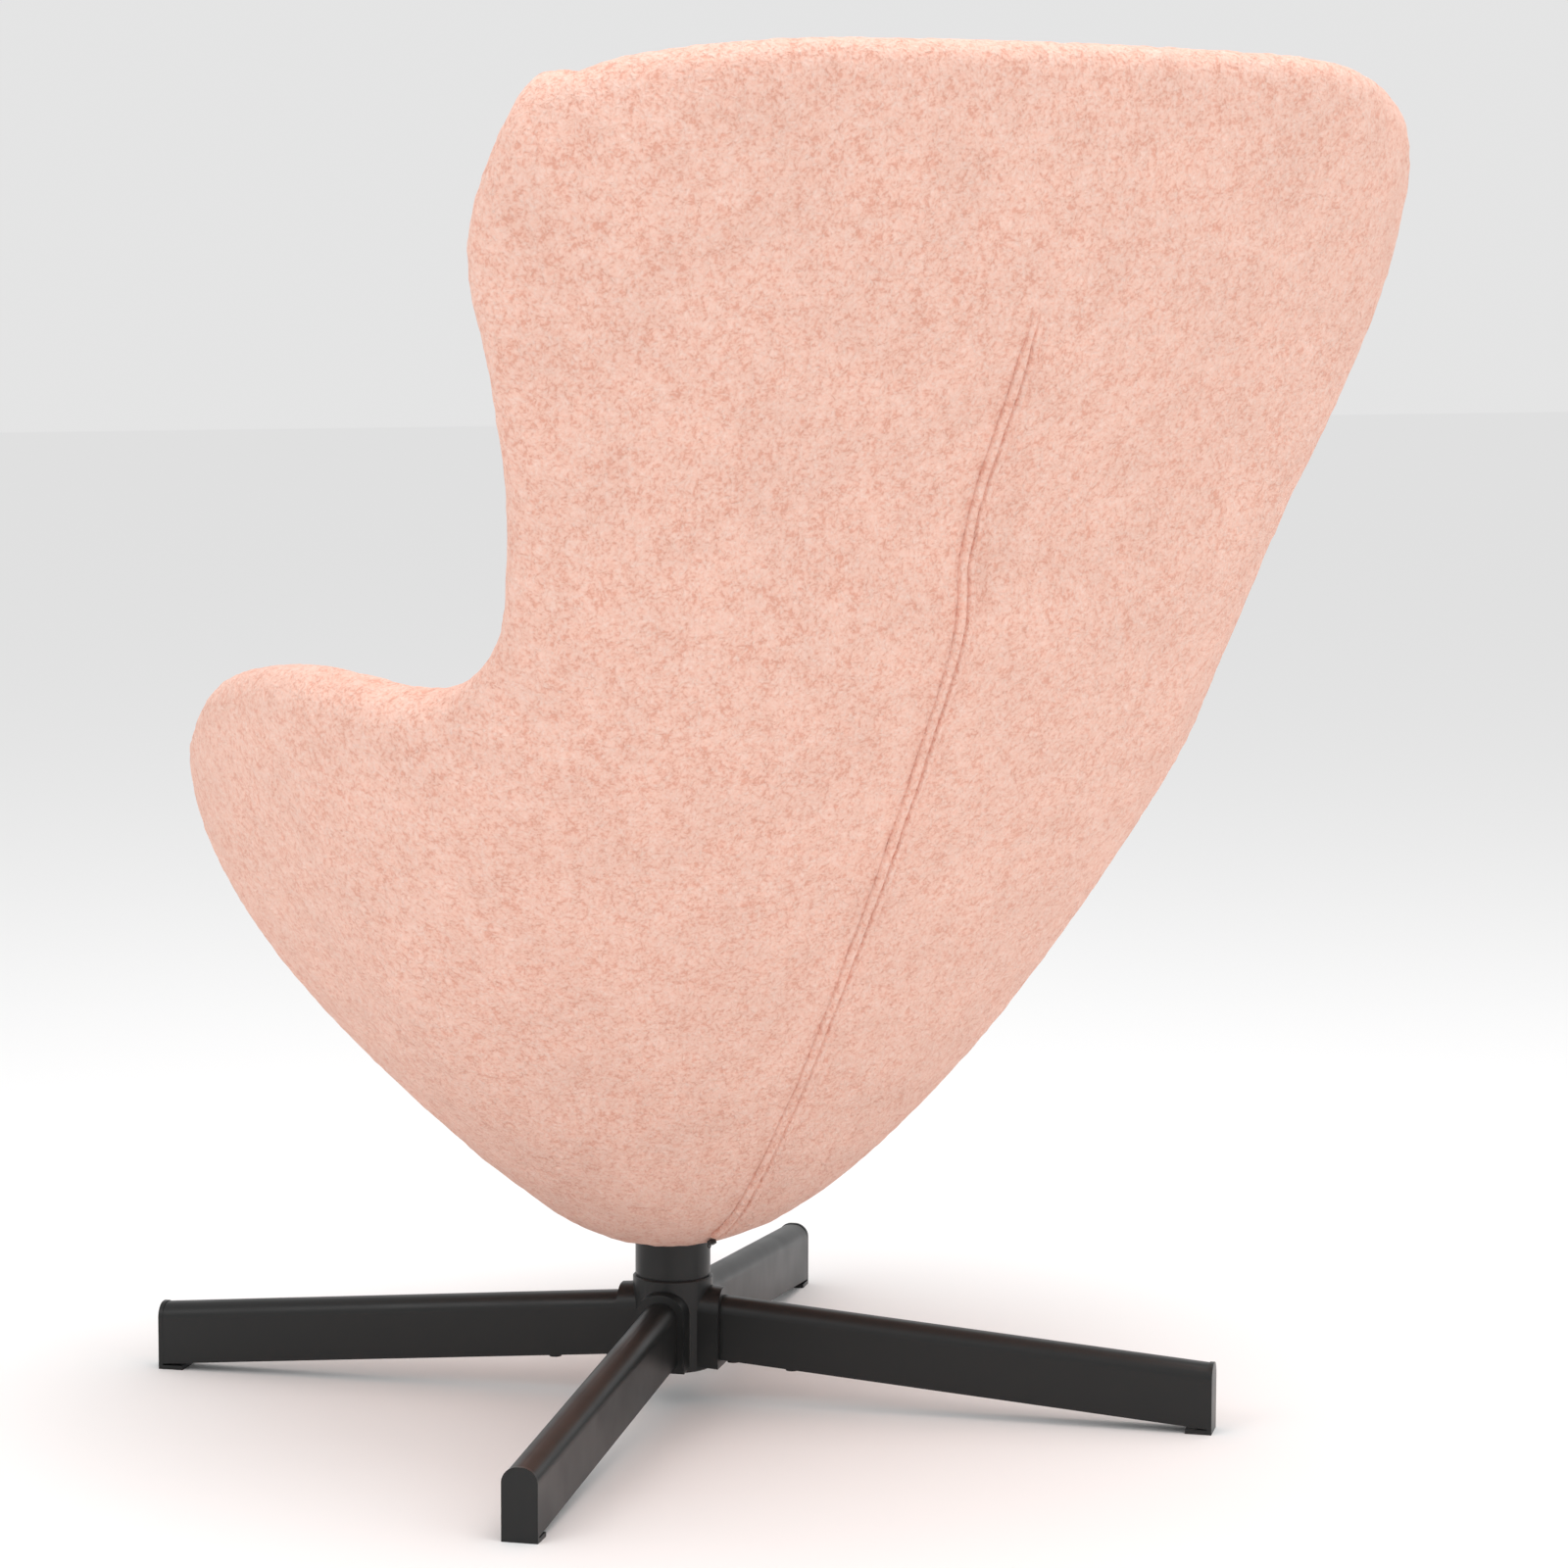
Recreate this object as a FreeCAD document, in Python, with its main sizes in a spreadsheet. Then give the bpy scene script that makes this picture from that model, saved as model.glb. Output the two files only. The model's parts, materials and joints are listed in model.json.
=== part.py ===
import FreeCAD, Part
import copy
import math
import os
import re

import Sketcher

# Pod chair: an upholstered shell with wings and arms that swivels on a four-legged base.
# Millimetres, +Z up. The origin is the floor point under the swivel axis.
# The sitter faces -Y, so the back is at +Y and the chair's left-hand side is at +X.

V = FreeCAD.Vector
UP = V(0, 0, 1)
LEG_NAMES = ("rear_left", "rear_right", "front_right", "front_left")
QUARTER = 90

doc = FreeCAD.newDocument("pod_chair")
dim = doc.addObject("Spreadsheet::Sheet", "dim")
parts = []

BASE_SIZES = {
    # column and hub
    "column_radius": 30,
    "column_wall": 3,
    "hub_radius": 32,
    "hub_bottom": 27,
    "hub_height": 74,
    "hub_edge": 1,
    "recess_radius": 13,
    "recess_depth": 10,
    "hub_floor": 6,
    # four legs: arched tubes that fall towards their ends
    "leg_reach": 434.5,
    "leg_width": 27,
    "leg_height": 49.5,
    "leg_wall": 2.5,
    "leg_corner": 12,
    "leg_slope": 4.66,
    "leg_turn": 45,
    "leg_root": 24,
    "end_height": 54,
    # end caps with a foot lip on the floor
    "cap_plate": 3.5,
    "cap_height": 54.6,
    "cap_margin": 0.1,
    "lip_length": 20.7,
    "lip_height": 3.4,
    "plug_length": 8,
    "plug_clearance": 0.8,
    # sockets, spigots and leg screws
    "socket_root": 20,
    "socket_reach": 42,
    "socket_wall": 6.5,
    "spigot_reach": 112,
    "spigot_clearance": 0.2,
    "screw_inner": 50,
    "screw_outer": 98,
    "screw_radius": 3,
    "screw_clearance": 0.3,
    "screw_head_radius": 5,
    "screw_head": 3,
    "screw_top": 56,
    "screw_socket_radius": 2,
    "screw_socket_depth": 1.6,
    # spindle and its bearings
    "spindle_radius": 12.5,
    "spindle_end": 5,
    "spindle_edge": 1,
    "running_clearance": 0.05,
    "bush_height": 25,
    "bush_gap": 44,
    "thrust_thickness": 2,
    "thrust_radius": 29,
    "thrust_clearance": 0.2,
    "retainer_clearance": 0.3,
    "retainer_radius": 20,
    "retainer_thickness": 2,
    "ring_depth": 1,
    "ring_thickness": 1.5,
    "ring_radius": 16,
    "ring_opening": 6,
    # bolt into the foot of the spindle, and the cover below it
    "bolt_radius": 6,
    "bolt_clearance": 0.5,
    "bolt_head_radius": 9,
    "bolt_head": 6,
    "bolt_grip": 22,
    "bolt_washer_radius": 12,
    "bolt_washer": 1.5,
    "hub_cap_thickness": 2,
}

POD_SIZES = {
    # seat plate, its bolts and the block that they hold
    "plate_radius": 90,
    "plate_thickness": 6,
    "plate_clearance": 6,
    "plate_bolt_circle": 60,
    "plate_bolt_radius": 5,
    "plate_bolt_head": 6,
    "plate_bolt_head_radius": 8.5,
    "plate_bolt_length": 32,
    "insert_radius": 9,
    "insert_length": 12,
    # layers of the pod, from the outside in
    "cover_thickness": 14,
    "shell_thickness": 10,
    "wall_depth": 56,
    "layer_clearance": 0.2,
    "rim_clearance": 0.4,
    "void_margin": 6,
    "base_clearance": 0.3,
    # foam deck and loose cushion; the deck is measured from the seat plate
    "deck_rise": 108,
    "cushion_clearance": 3,
    "cushion_lift": 0.4,
    "cushion_thickness": 122,
    "cushion_half_width": 270,
    "cushion_front": 232,
    "cushion_back": 208,
    "cushion_corner": 175,
    "cushion_edge": 40,
    "cushion_crown": 140,
    # closing seam down the back and its slider; its top is measured from the seat plate
    "seam_start": 62,
    "seam_rise": 670,
    "seam_lip": 6,
    "seam_groove": 2,
    "seam_height": 4,
    "seam_clearance": 0.6,
    "slider_width": 5,
    "slider_length": 6,
    "slider_height": 3.6,
    "pull_radius": 2.2,
    "pull_wire": 0.5,
}

# Ribs of the pod from the front edge of the seat, under it and up the back to the crown.
# run and rise lead along the spine from the neighbour nearer the base; rim_run and rim_rise lead
# from the spine to the rim, and the base is measured from the foot of the seat plate; lip is the
# angle in degrees that the rib has turned at the rim, and balance says how much of that bend lies
# near the spine.
RIB_FIELDS = ("run", "rise", "half_width", "rim_run", "rim_rise", "lip", "balance")
RIBS = {
    "front_edge": (-104, 131, 311, 46, 118, 72, 0.60),
    "front_bowl": (-165, 113, 367, 61, 296, 79, 0.31),
    "base": (0, -85, 388, 2, 439, 74, 0.18),
    "rear_keel": (88, 30, 388, 1, 419, 76, 0.19),
    "rear_bowl": (91, 104, 374, -29, 310, 73, 0.32),
    "seat_back": (73, 109, 356, -53, 193, 66, 0.49),
    "loin": (66, 108, 334, -74, 90, 58, 0.63),
    "waist_low": (50, 90, 316, -79, 29, 50, 0.71),
    "waist": (36, 72, 309, -74, 6, 46, 0.75),
    "waist_top": (5, 50, 321, -51, 23, 45, 0.75),
    "mid_back": (21, 55, 351, -47, 53, 46, 0.76),
    "shoulder": (45, 79, 379, -70, 67, 47, 0.76),
    "head": (36, 81, 368, -69, 67, 48, 0.70),
    "crown": (33, 118, 332, -80, -4, 49, 0.57),
}
ROLL_ANGLES = (0, 30, 58, 80)
RIBS_PER_GAP = 3
CUSHION_ANGLES = (-90, -70, -50, -35, -20, -8, 6, 20, 34, 48, 62, 74, 84)
SPINE_SAMPLES = 91


def fill_sheet():
    """Write every driving size into the sheet under its own alias."""
    named = dict(BASE_SIZES, **POD_SIZES)
    for rib, numbers in RIBS.items():
        named.update({f"{rib}_{field}": number for field, number in zip(RIB_FIELDS, numbers)})
    for row, (alias, number) in enumerate(named.items(), start=1):
        dim.set(f"A{row}", alias.replace("_", " "))
        dim.set(f"B{row}", str(number))
        dim.setAlias(f"B{row}", alias)
    doc.recompute()


def size(expression):
    """Value of an expression of sheet sizes."""
    return float(doc.getObject("dim").evalExpression(expression))


def register(piece):
    """Keep a finished sub-part for the checks and the export."""
    piece.Label = piece.Name
    parts.append(piece)
    return piece


# Sketches and features

def new_body(name):
    """A body whose label names its file."""
    return register(doc.addObject("PartDesign::Body", name))


def corner_geometry(start, corner):
    """Straight or rounded edge from one outline corner to the next."""
    end = [size(value) for value in corner[:2]]
    if len(corner) == 2:
        return Part.LineSegment(V(*start, 0), V(*end, 0))
    radius = size(corner[2])
    chord = V(end[0] - start[0], end[1] - start[1], 0)
    middle = V(start[0] + end[0], start[1] + end[1], 0) * 0.5
    left = V(-chord.y, chord.x, 0).normalize()
    centre = middle + left * math.sqrt(max(radius ** 2 - (chord.Length / 2) ** 2, 0))
    angles = [math.atan2(y - centre.y, x - centre.x) for x, y in (start, end)]
    return Part.ArcOfCircle(Part.Circle(centre, UP, radius), *angles)


def sheet_text(expression):
    """The same expression as seen from another object; every alias has an underscore."""
    return re.sub(r"([a-z]+_[a-z_]+)", r"dim.\1", expression)


def pin_point(drawing, edge, point, corner):
    """Bind one point of a sketch to the expressions of its two coordinates."""
    for axis, kind, other in ((0, "DistanceX", -2), (1, "DistanceY", -1)):
        if corner[axis] == "0":
            drawing.addConstraint(Sketcher.Constraint("PointOnObject", edge, point, other))
            continue
        number = drawing.addConstraint(
            Sketcher.Constraint(kind, -1, 1, edge, point, size(corner[axis])))
        drawing.setExpression(f"Constraints[{number}]", sheet_text(corner[axis]))


def bind_radius(drawing, edge, expression):
    """Bind the radius of a circle or an arc."""
    number = drawing.addConstraint(Sketcher.Constraint("Radius", edge, size(expression)))
    drawing.setExpression(f"Constraints[{number}]", sheet_text(expression))


def draw_outline(drawing, corners):
    """Closed outline, anticlockwise; a third entry rounds the edge that arrives at its corner."""
    places = [[size(value) for value in corner[:2]] for corner in corners]
    edges = [drawing.addGeometry(corner_geometry(places[index - 1], corner), False)
             for index, corner in enumerate(corners)]
    for before, after in zip([edges[-1]] + edges[:-1], edges):
        drawing.addConstraint(Sketcher.Constraint("Coincident", before, 2, after, 1))
    for edge, corner in zip(edges, corners):
        pin_point(drawing, edge, 2, corner)
        if len(corner) == 3:
            bind_radius(drawing, edge, corner[2])


def draw_circle(drawing, x, y, radius):
    """Circle bound to its centre and radius."""
    centre = V(size(x), size(y), 0)
    edge = drawing.addGeometry(Part.Circle(centre, UP, size(radius)), False)
    pin_point(drawing, edge, 3, (x, y))
    bind_radius(drawing, edge, radius)


def new_sketch(body, name, role, lift="0"):
    """Sketch on one of the body's own origin planes, lifted along the plane's normal."""
    drawing = body.newObject("Sketcher::SketchObject", name)
    plane = next(item for item in body.Origin.OriginFeatures if item.Role == role)
    drawing.AttachmentSupport = [(plane, "")]
    drawing.MapMode = "FlatFace"
    if lift != "0":
        drawing.setExpression("AttachmentOffset.Base.z", sheet_text(lift))
    return drawing


def add_extrusion(body, kind, drawing, length, sloped=False, backwards=False):
    """Pad or pocket of a sketch; a sloped one falls with the legs as it runs outwards."""
    feature = body.newObject(f"PartDesign::{kind}", f"{drawing.Name}_{kind.lower()}")
    feature.Profile = drawing
    feature.setExpression("Length", sheet_text(length))
    feature.Reversed = backwards
    if sloped:
        feature.UseCustomVector = True
        feature.AlongSketchNormal = True
        feature.Direction = V(1, 0, -math.tan(math.radians(size("leg_slope"))))
        feature.setExpression("Direction.z", "-tan(dim.leg_slope * 1 deg)")
    doc.recompute()
    return feature


def polar_copies(body, features, count):
    """Repeat features round the vertical axis."""
    pattern = body.newObject("PartDesign::PolarPattern", f"{body.Name}_pattern")
    pattern.Originals = features
    axis = next(item for item in body.Origin.OriginFeatures if item.Role == "Z_Axis")
    pattern.Axis = (axis, [""])
    pattern.Angle = 360
    pattern.Occurrences = count
    body.Tip = pattern
    doc.recompute()
    return pattern


def turned(name, corners):
    """Body turned about the swivel axis from an outline of (radius, height) corners."""
    body = new_body(name)
    drawing = new_sketch(body, f"{name}_profile", "XZ_Plane")
    draw_outline(drawing, corners)
    feature = body.newObject("PartDesign::Revolution", f"{name}_turn")
    feature.Profile = drawing
    feature.ReferenceAxis = (drawing, ["V_Axis"])
    feature.Angle = 360
    doc.recompute()
    return body


def ring_corners(inner, outer, bottom, top):
    """Rectangular outline of a ring."""
    return ((inner, bottom), (outer, bottom), (outer, top), (inner, top))


# Heights that several pieces share, as expressions of the sheet

HUB_TOP = "hub_bottom + hub_height"
SEAT_FLOOR = "hub_bottom + recess_depth"
SPINDLE_FOOT = "hub_bottom + recess_depth + hub_floor"
COLUMN_FOOT = "hub_bottom + hub_height + thrust_thickness + thrust_clearance"
UPPER_BUSH = f"{COLUMN_FOOT} + bush_height + bush_gap"
RETAINER = f"{UPPER_BUSH} + bush_height + retainer_clearance"
RING = f"{RETAINER} + retainer_thickness"
SPINDLE_TOP = f"{RING} + ring_thickness + spindle_end"
PLATE_FOOT = f"{SPINDLE_TOP} + plate_clearance"
PLATE_TOP = f"{PLATE_FOOT} + plate_thickness"
BUSH_BORE = "spindle_radius + running_clearance"
BUSH_RADIUS = "column_radius - column_wall"
CAP_FACE = "leg_reach - cap_plate"


def fall(start):
    """How far the legs fall between a radius and the end plates."""
    return f"({CAP_FACE} - ({start})) * tan(leg_slope * 1 deg)"


def leg_arch(start, margin, shrink):
    """Arch of a leg's section at a radius, grown by one size or shrunk by another."""
    top = f"end_height + {fall(start)} + {margin} - {shrink}"
    bottom = f"end_height - leg_height + {fall(start)} - {margin} + {shrink}"
    half = f"(leg_width / 2 + {margin} - {shrink})"
    corner = f"(leg_corner + {margin} - {shrink})"
    return ((f"-1 * {half}", bottom), (half, bottom), (half, f"{top} - {corner}"),
            ("leg_width / 2 - leg_corner", top, corner), ("leg_corner - leg_width / 2", top),
            (f"-1 * {half}", f"{top} - {corner}", corner))


def make_hub():
    """Cast hub: turned core, four arched sockets and a spigot inside each leg."""
    body = turned("hub", (
        ("bolt_radius + bolt_clearance", SEAT_FLOOR), ("recess_radius", SEAT_FLOOR),
        ("recess_radius", "hub_bottom"), ("hub_radius - hub_edge", "hub_bottom"),
        ("hub_radius", "hub_bottom + hub_edge"), ("hub_radius", f"{HUB_TOP} - hub_edge"),
        ("hub_radius - hub_edge", HUB_TOP), ("spindle_radius", HUB_TOP),
        ("spindle_radius", SPINDLE_FOOT), ("bolt_radius + bolt_clearance", SPINDLE_FOOT)))
    boss = new_sketch(body, "hub_boss", "YZ_Plane", "socket_root")
    draw_outline(boss, leg_arch("socket_root", "socket_wall", "0"))
    socket = new_sketch(body, "hub_socket", "YZ_Plane", "leg_root")
    draw_outline(socket, leg_arch("leg_root", "0", "0"))
    spigot = new_sketch(body, "hub_spigot", "YZ_Plane", "socket_root")
    draw_outline(spigot, leg_arch("socket_root", "0", "(leg_wall + spigot_clearance)"))
    holes = new_sketch(body, "hub_screw_holes", "XY_Plane")
    for place in ("screw_inner", "screw_outer"):
        draw_circle(holes, place, "0", "screw_radius")
    features = [
        add_extrusion(body, "Pad", boss, "socket_reach - socket_root", sloped=True),
        add_extrusion(body, "Pocket", socket, "hub_radius + socket_reach", sloped=True),
        add_extrusion(body, "Pad", spigot, "spigot_reach - socket_root", sloped=True),
        add_extrusion(body, "Pocket", holes, "screw_top", backwards=True),
    ]
    polar_copies(body, features, len(LEG_NAMES))
    turn_body(body, 0)


def make_leg(name, turn):
    """Arched steel tube from its socket to its end plate, with two screw holes below."""
    body = new_body(f"leg_{name}")
    section = new_sketch(body, f"{body.Name}_section", "YZ_Plane", "leg_root")
    draw_outline(section, leg_arch("leg_root", "0", "0"))
    draw_outline(section, leg_arch("leg_root", "0", "leg_wall"))
    add_extrusion(body, "Pad", section, f"{CAP_FACE} - leg_root", sloped=True)
    holes = new_sketch(body, f"{body.Name}_holes", "XY_Plane")
    for place in ("screw_inner", "screw_outer"):
        draw_circle(holes, place, "0", "screw_radius + screw_clearance")
    add_extrusion(body, "Pocket", holes, "screw_top", backwards=True)
    turn_body(body, turn)


def make_foot_cap(name, turn):
    """End plate of a leg with a plug inside the tube and a thin lip on the floor."""
    body = new_body(f"foot_cap_{name}")
    half = "(leg_width / 2 + cap_margin)"
    corner = "(leg_corner + cap_margin)"
    plate = new_sketch(body, f"{body.Name}_plate", "YZ_Plane", CAP_FACE)
    draw_outline(plate, (
        (f"-1 * {half}", "0"), (half, "0"), (half, f"cap_height - {corner}"),
        (f"{half} - {corner}", "cap_height", corner), (f"{corner} - {half}", "cap_height"),
        (f"-1 * {half}", f"cap_height - {corner}", corner)))
    add_extrusion(body, "Pad", plate, "cap_plate")
    lip = new_sketch(body, f"{body.Name}_lip", "YZ_Plane", "leg_reach - lip_length")
    draw_outline(lip, (
        (f"-1 * {half}", "0"), (half, "0"), (half, "lip_height"), (f"-1 * {half}", "lip_height")))
    add_extrusion(body, "Pad", lip, "lip_length - cap_plate / 2")
    plug = new_sketch(body, f"{body.Name}_plug", "YZ_Plane", f"{CAP_FACE} - plug_length")
    draw_outline(plug, leg_arch(CAP_FACE, "0", "(leg_wall + plug_clearance)"))
    add_extrusion(body, "Pad", plug, "plug_length + cap_plate / 2")
    turn_body(body, turn)


def turn_body(body, turn):
    """Turn a leg's piece to its own quarter of the base."""
    body.setExpression("Placement.Rotation.Axis.z", "1")
    body.setExpression("Placement.Rotation.Angle", f"dim.leg_turn + {turn}")
    doc.recompute()


def make_spindle():
    """Fixed spindle with a threaded foot and a groove for the retaining ring."""
    turned("spindle", (
        ("0", f"{SPINDLE_FOOT} + bolt_grip"), ("bolt_radius", f"{SPINDLE_FOOT} + bolt_grip"),
        ("bolt_radius", SPINDLE_FOOT), ("spindle_radius", SPINDLE_FOOT),
        ("spindle_radius", RING), ("spindle_radius - ring_depth", RING),
        ("spindle_radius - ring_depth", f"{RING} + ring_thickness"),
        ("spindle_radius", f"{RING} + ring_thickness"),
        ("spindle_radius", f"{SPINDLE_TOP} - spindle_edge"),
        ("spindle_radius - spindle_edge", SPINDLE_TOP), ("0", SPINDLE_TOP)))
    washer_foot = f"{SEAT_FLOOR} - bolt_washer"
    turned("spindle_bolt_washer", ring_corners(
        "bolt_radius", "bolt_washer_radius", washer_foot, SEAT_FLOOR))
    turned("spindle_bolt", (
        ("0", f"{washer_foot} - bolt_head"), ("bolt_head_radius", f"{washer_foot} - bolt_head"),
        ("bolt_head_radius", washer_foot), ("bolt_radius", washer_foot),
        ("bolt_radius", f"{SPINDLE_FOOT} + bolt_grip - spindle_edge"),
        ("0", f"{SPINDLE_FOOT} + bolt_grip - spindle_edge")))
    turned("hub_cap", (
        ("0", "hub_bottom"), ("recess_radius", "hub_bottom"),
        ("recess_radius", "hub_bottom + hub_cap_thickness"), ("0", "hub_bottom + hub_cap_thickness")))


def make_bearings():
    """Washers and ring on the spindle, and the bushes in the column that run on it."""
    turned("thrust_washer", ring_corners(
        "spindle_radius", "thrust_radius", HUB_TOP, f"{HUB_TOP} + thrust_thickness"))
    turned("retaining_washer", ring_corners("spindle_radius", "retainer_radius", RETAINER, RING))
    ring = turned("retaining_ring", ring_corners(
        "spindle_radius - ring_depth", "ring_radius", RING, f"{RING} + ring_thickness"))
    opening = new_sketch(ring, "ring_opening_outline", "XY_Plane", RING)
    draw_outline(opening, (("0", "-ring_opening / 2"), ("ring_radius * 2", "-ring_opening / 2"),
                           ("ring_radius * 2", "ring_opening / 2"), ("0", "ring_opening / 2")))
    add_extrusion(ring, "Pocket", opening, "ring_thickness", backwards=True)
    for name, foot in (("lower_bush", COLUMN_FOOT), ("upper_bush", UPPER_BUSH)):
        turned(name, ring_corners(BUSH_BORE, BUSH_RADIUS, foot, f"{foot} + bush_height"))


def make_column():
    """Column tube that turns with the pod, and the seat plate on top of it."""
    turned("swivel_sleeve", ring_corners(BUSH_RADIUS, "column_radius", COLUMN_FOOT, PLATE_FOOT))
    plate = turned("seat_plate", ring_corners("0", "plate_radius", PLATE_FOOT, PLATE_TOP))
    hole = new_sketch(plate, "seat_plate_hole", "XY_Plane", PLATE_TOP)
    draw_circle(hole, "plate_bolt_circle", "0", "plate_bolt_radius")
    cut = add_extrusion(plate, "Pocket", hole, "plate_thickness * 2")
    polar_copies(plate, [cut], len(LEG_NAMES))


# Groups of identical fasteners and formed pieces, with sizes read from the sheet

def cylinder(radius, bottom, top, x=0.0):
    """Upright solid cylinder."""
    return Part.makeCylinder(radius, top - bottom, V(x, 0, bottom), UP)


def around(shape, turns):
    """Copies of a shape turned about the swivel axis."""
    copies = []
    for turn in turns:
        copy = shape.copy()
        copy.rotate(V(0, 0, 0), UP, turn)
        copies.append(copy)
    return copies


def new_form(name, shape):
    """Piece whose shape is made here from the sheet's sizes."""
    piece = doc.addObject("Part::Feature", name)
    piece.Shape = shape
    piece.Placement = FreeCAD.Placement()
    return register(piece)


def leg_screw(reach):
    """Button-headed screw that holds a leg to its spigot from below."""
    slope = math.tan(math.radians(size("leg_slope")))
    head_radius = size("screw_head_radius")
    seat = (size("end_height - leg_height")
            + (size(CAP_FACE) - reach - head_radius) * slope)
    shank = cylinder(size("screw_radius"), seat, size("screw_top") - size("screw_head"), reach)
    head = cylinder(head_radius, seat - size("screw_head"), seat, reach)
    recess = cylinder(size("screw_socket_radius"), seat - size("screw_head"),
                      seat - size("screw_head") + size("screw_socket_depth"), reach)
    return head.fuse(shank).cut(recess)


def make_leg_screws():
    """All eight leg screws in one node."""
    turns = [size("leg_turn") + QUARTER * index for index in range(len(LEG_NAMES))]
    screws = [copy for place in ("screw_inner", "screw_outer")
              for copy in around(leg_screw(size(place)), turns)]
    new_form("leg_screws", Part.makeCompound(screws))


def plate_turns():
    """Directions of the plate's bolts."""
    return [QUARTER * index for index in range(len(LEG_NAMES))]


def make_plate_fasteners():
    """Bolts through the seat plate and the insert nuts that they hold in the block."""
    circle = size("plate_bolt_circle")
    seat = size(PLATE_TOP)
    tip = seat - size("plate_bolt_length")
    shank_radius = size("plate_bolt_radius")
    bolt = cylinder(size("plate_bolt_head_radius"), seat, seat + size("plate_bolt_head"), circle).fuse(
        cylinder(shank_radius, tip, seat, circle))
    insert = cylinder(size("insert_radius"), tip, tip + size("insert_length"), circle).cut(
        cylinder(shank_radius, tip, tip + size("insert_length"), circle))
    new_form("plate_bolts", Part.makeCompound(around(bolt, plate_turns())))
    new_form("insert_nuts", Part.makeCompound(around(insert, plate_turns())))


class Rib:
    """One rib plane of the pod, which holds the X direction and leads from spine to rim."""

    def __init__(self, spine_y, spine_z, half_width, rim_y, rim_z, lip, balance):
        self.spine = V(0, spine_y, spine_z)
        self.inward = V(0, rim_y - spine_y, rim_z - spine_z)
        self.depth = self.inward.Length
        self.inward.normalize()
        self.rim = V(half_width, self.depth, 0)
        self.spine_lead = self.rim_lead = V(0, 0, 0)
        self.balance = balance
        turn = math.radians(lip)
        self.end_tangent = V(math.cos(turn), math.sin(turn), 0)
        self.end_normal = V(-math.sin(turn), math.cos(turn), 0)

    def place(self, point, side, shift):
        """Point of the rib plane (across, inwards), or of a roll that leads on beyond it."""
        share = point.y / self.rim.y
        lead = self.spine_lead * (1 - share) + V(0, self.rim_lead.y, self.rim_lead.z) * share
        across = point.x + self.rim_lead.x * shift * point.x / self.rim.x
        return self.spine + V(side * across, 0, 0) + self.inward * point.y + lead * shift

    def lead_on(self, before):
        """Point the rolled edge beyond this rib the way that the pod runs from the one before."""
        self.spine_lead = (self.spine - before.spine).normalize()
        self.rim_lead = (self.place(self.rim, 1, 0) - before.place(before.rim, 1, 0)).normalize()

    def drawn_back(self, gap):
        """The same rib with its rim drawn back along the wall."""
        rib = copy.copy(self)
        rib.rim = self.rim - self.end_tangent * gap
        return rib

    def half_outline(self, offset):
        """Two tangent arcs from the spine to the rim, each as (start, corner, end)."""
        start = V(0, offset, 0)
        end = self.rim + self.end_normal * offset
        first, last = V(1, 0, 0), self.end_tangent
        chord = end - start
        share = self.balance
        square = 2 * share * (1 - share) * (1 - first.dot(last))
        linear = 2 * (share * chord.dot(first) + (1 - share) * chord.dot(last))
        reach = (math.sqrt(linear ** 2 + 4 * square * chord.dot(chord)) - linear) / (2 * square)
        near, far = start + first * (share * reach), end - last * ((1 - share) * reach)
        joint = near * (1 - share) + far * share
        return (start, near, joint), (joint, far, end)


def arc_edge(rib, side, shift, start, corner, end):
    """Arc between two points of a rib plane whose end tangents meet at the corner."""
    chord_middle = (start + end) * 0.5
    half_chord = (end - start).Length / 2
    height = (corner - chord_middle).Length
    half_turn = math.atan2(height, half_chord)
    middle = chord_middle + (corner - chord_middle) * (math.tan(half_turn / 2) / math.tan(half_turn))
    return Part.Arc(*(rib.place(point, side, shift) for point in (start, middle, end))).toShape()


def rib_edges(rib, offset, shift, forward):
    """Edges of a whole rib at one depth in the wall, from the left rim to the right or back."""
    near, far = rib.half_outline(offset)
    edges = [arc_edge(rib, 1, shift, *far[::-1]), arc_edge(rib, 1, shift, *near[::-1]),
             arc_edge(rib, -1, shift, *near), arc_edge(rib, -1, shift, *far)]
    return edges if forward else edges[::-1]


def lip_edges(rib, side, outer, inner, shift, rounded):
    """Edges that close a rib's wall at one rim: a round roll of two arcs, or a square end."""
    start, end = rib.rim + rib.end_normal * outer, rib.rim + rib.end_normal * inner
    if not rounded:
        return [Part.LineSegment(rib.place(start, side, shift), rib.place(end, side, shift)).toShape()]
    radius = (inner - outer) / 2
    reach = rib.end_tangent * radius
    tip = (start + end) * 0.5 + reach
    return [arc_edge(rib, side, shift, start, start + reach, tip),
            arc_edge(rib, side, shift, tip, end + reach, end)]


def wall_wire(rib, outer, inner, rounded, shift=0.0):
    """Closed section of the pod's wall between two depths."""
    return Part.Wire(rib_edges(rib, outer, shift, True)
                     + lip_edges(rib, -1, outer, inner, shift, rounded)
                     + rib_edges(rib, inner, shift, False)
                     + lip_edges(rib, 1, outer, inner, shift, rounded)[::-1])


def cover_wire(rib, wall, skin):
    """Closed section of the cover: a skin outside the shell that ends in a round roll at each rim."""
    return Part.Wire(rib_edges(rib, 0, 0, True)
                     + lip_edges(rib, -1, 0, wall, 0, True) + lip_edges(rib, -1, skin, wall, 0, False)
                     + rib_edges(rib, skin, 0, False)
                     + lip_edges(rib, 1, skin, wall, 0, False) + lip_edges(rib, 1, 0, wall, 0, True)[::-1])


def bowl_wire(rib, depth):
    """Closed section of the space inside the pod, from a depth in the wall to the rims."""
    near, far = rib.half_outline(depth)
    left, right = rib.place(far[-1], 1, 0), rib.place(far[-1], -1, 0)
    return Part.Wire(rib_edges(rib, depth, 0, True) + [Part.LineSegment(right, left).toShape()])


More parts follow.
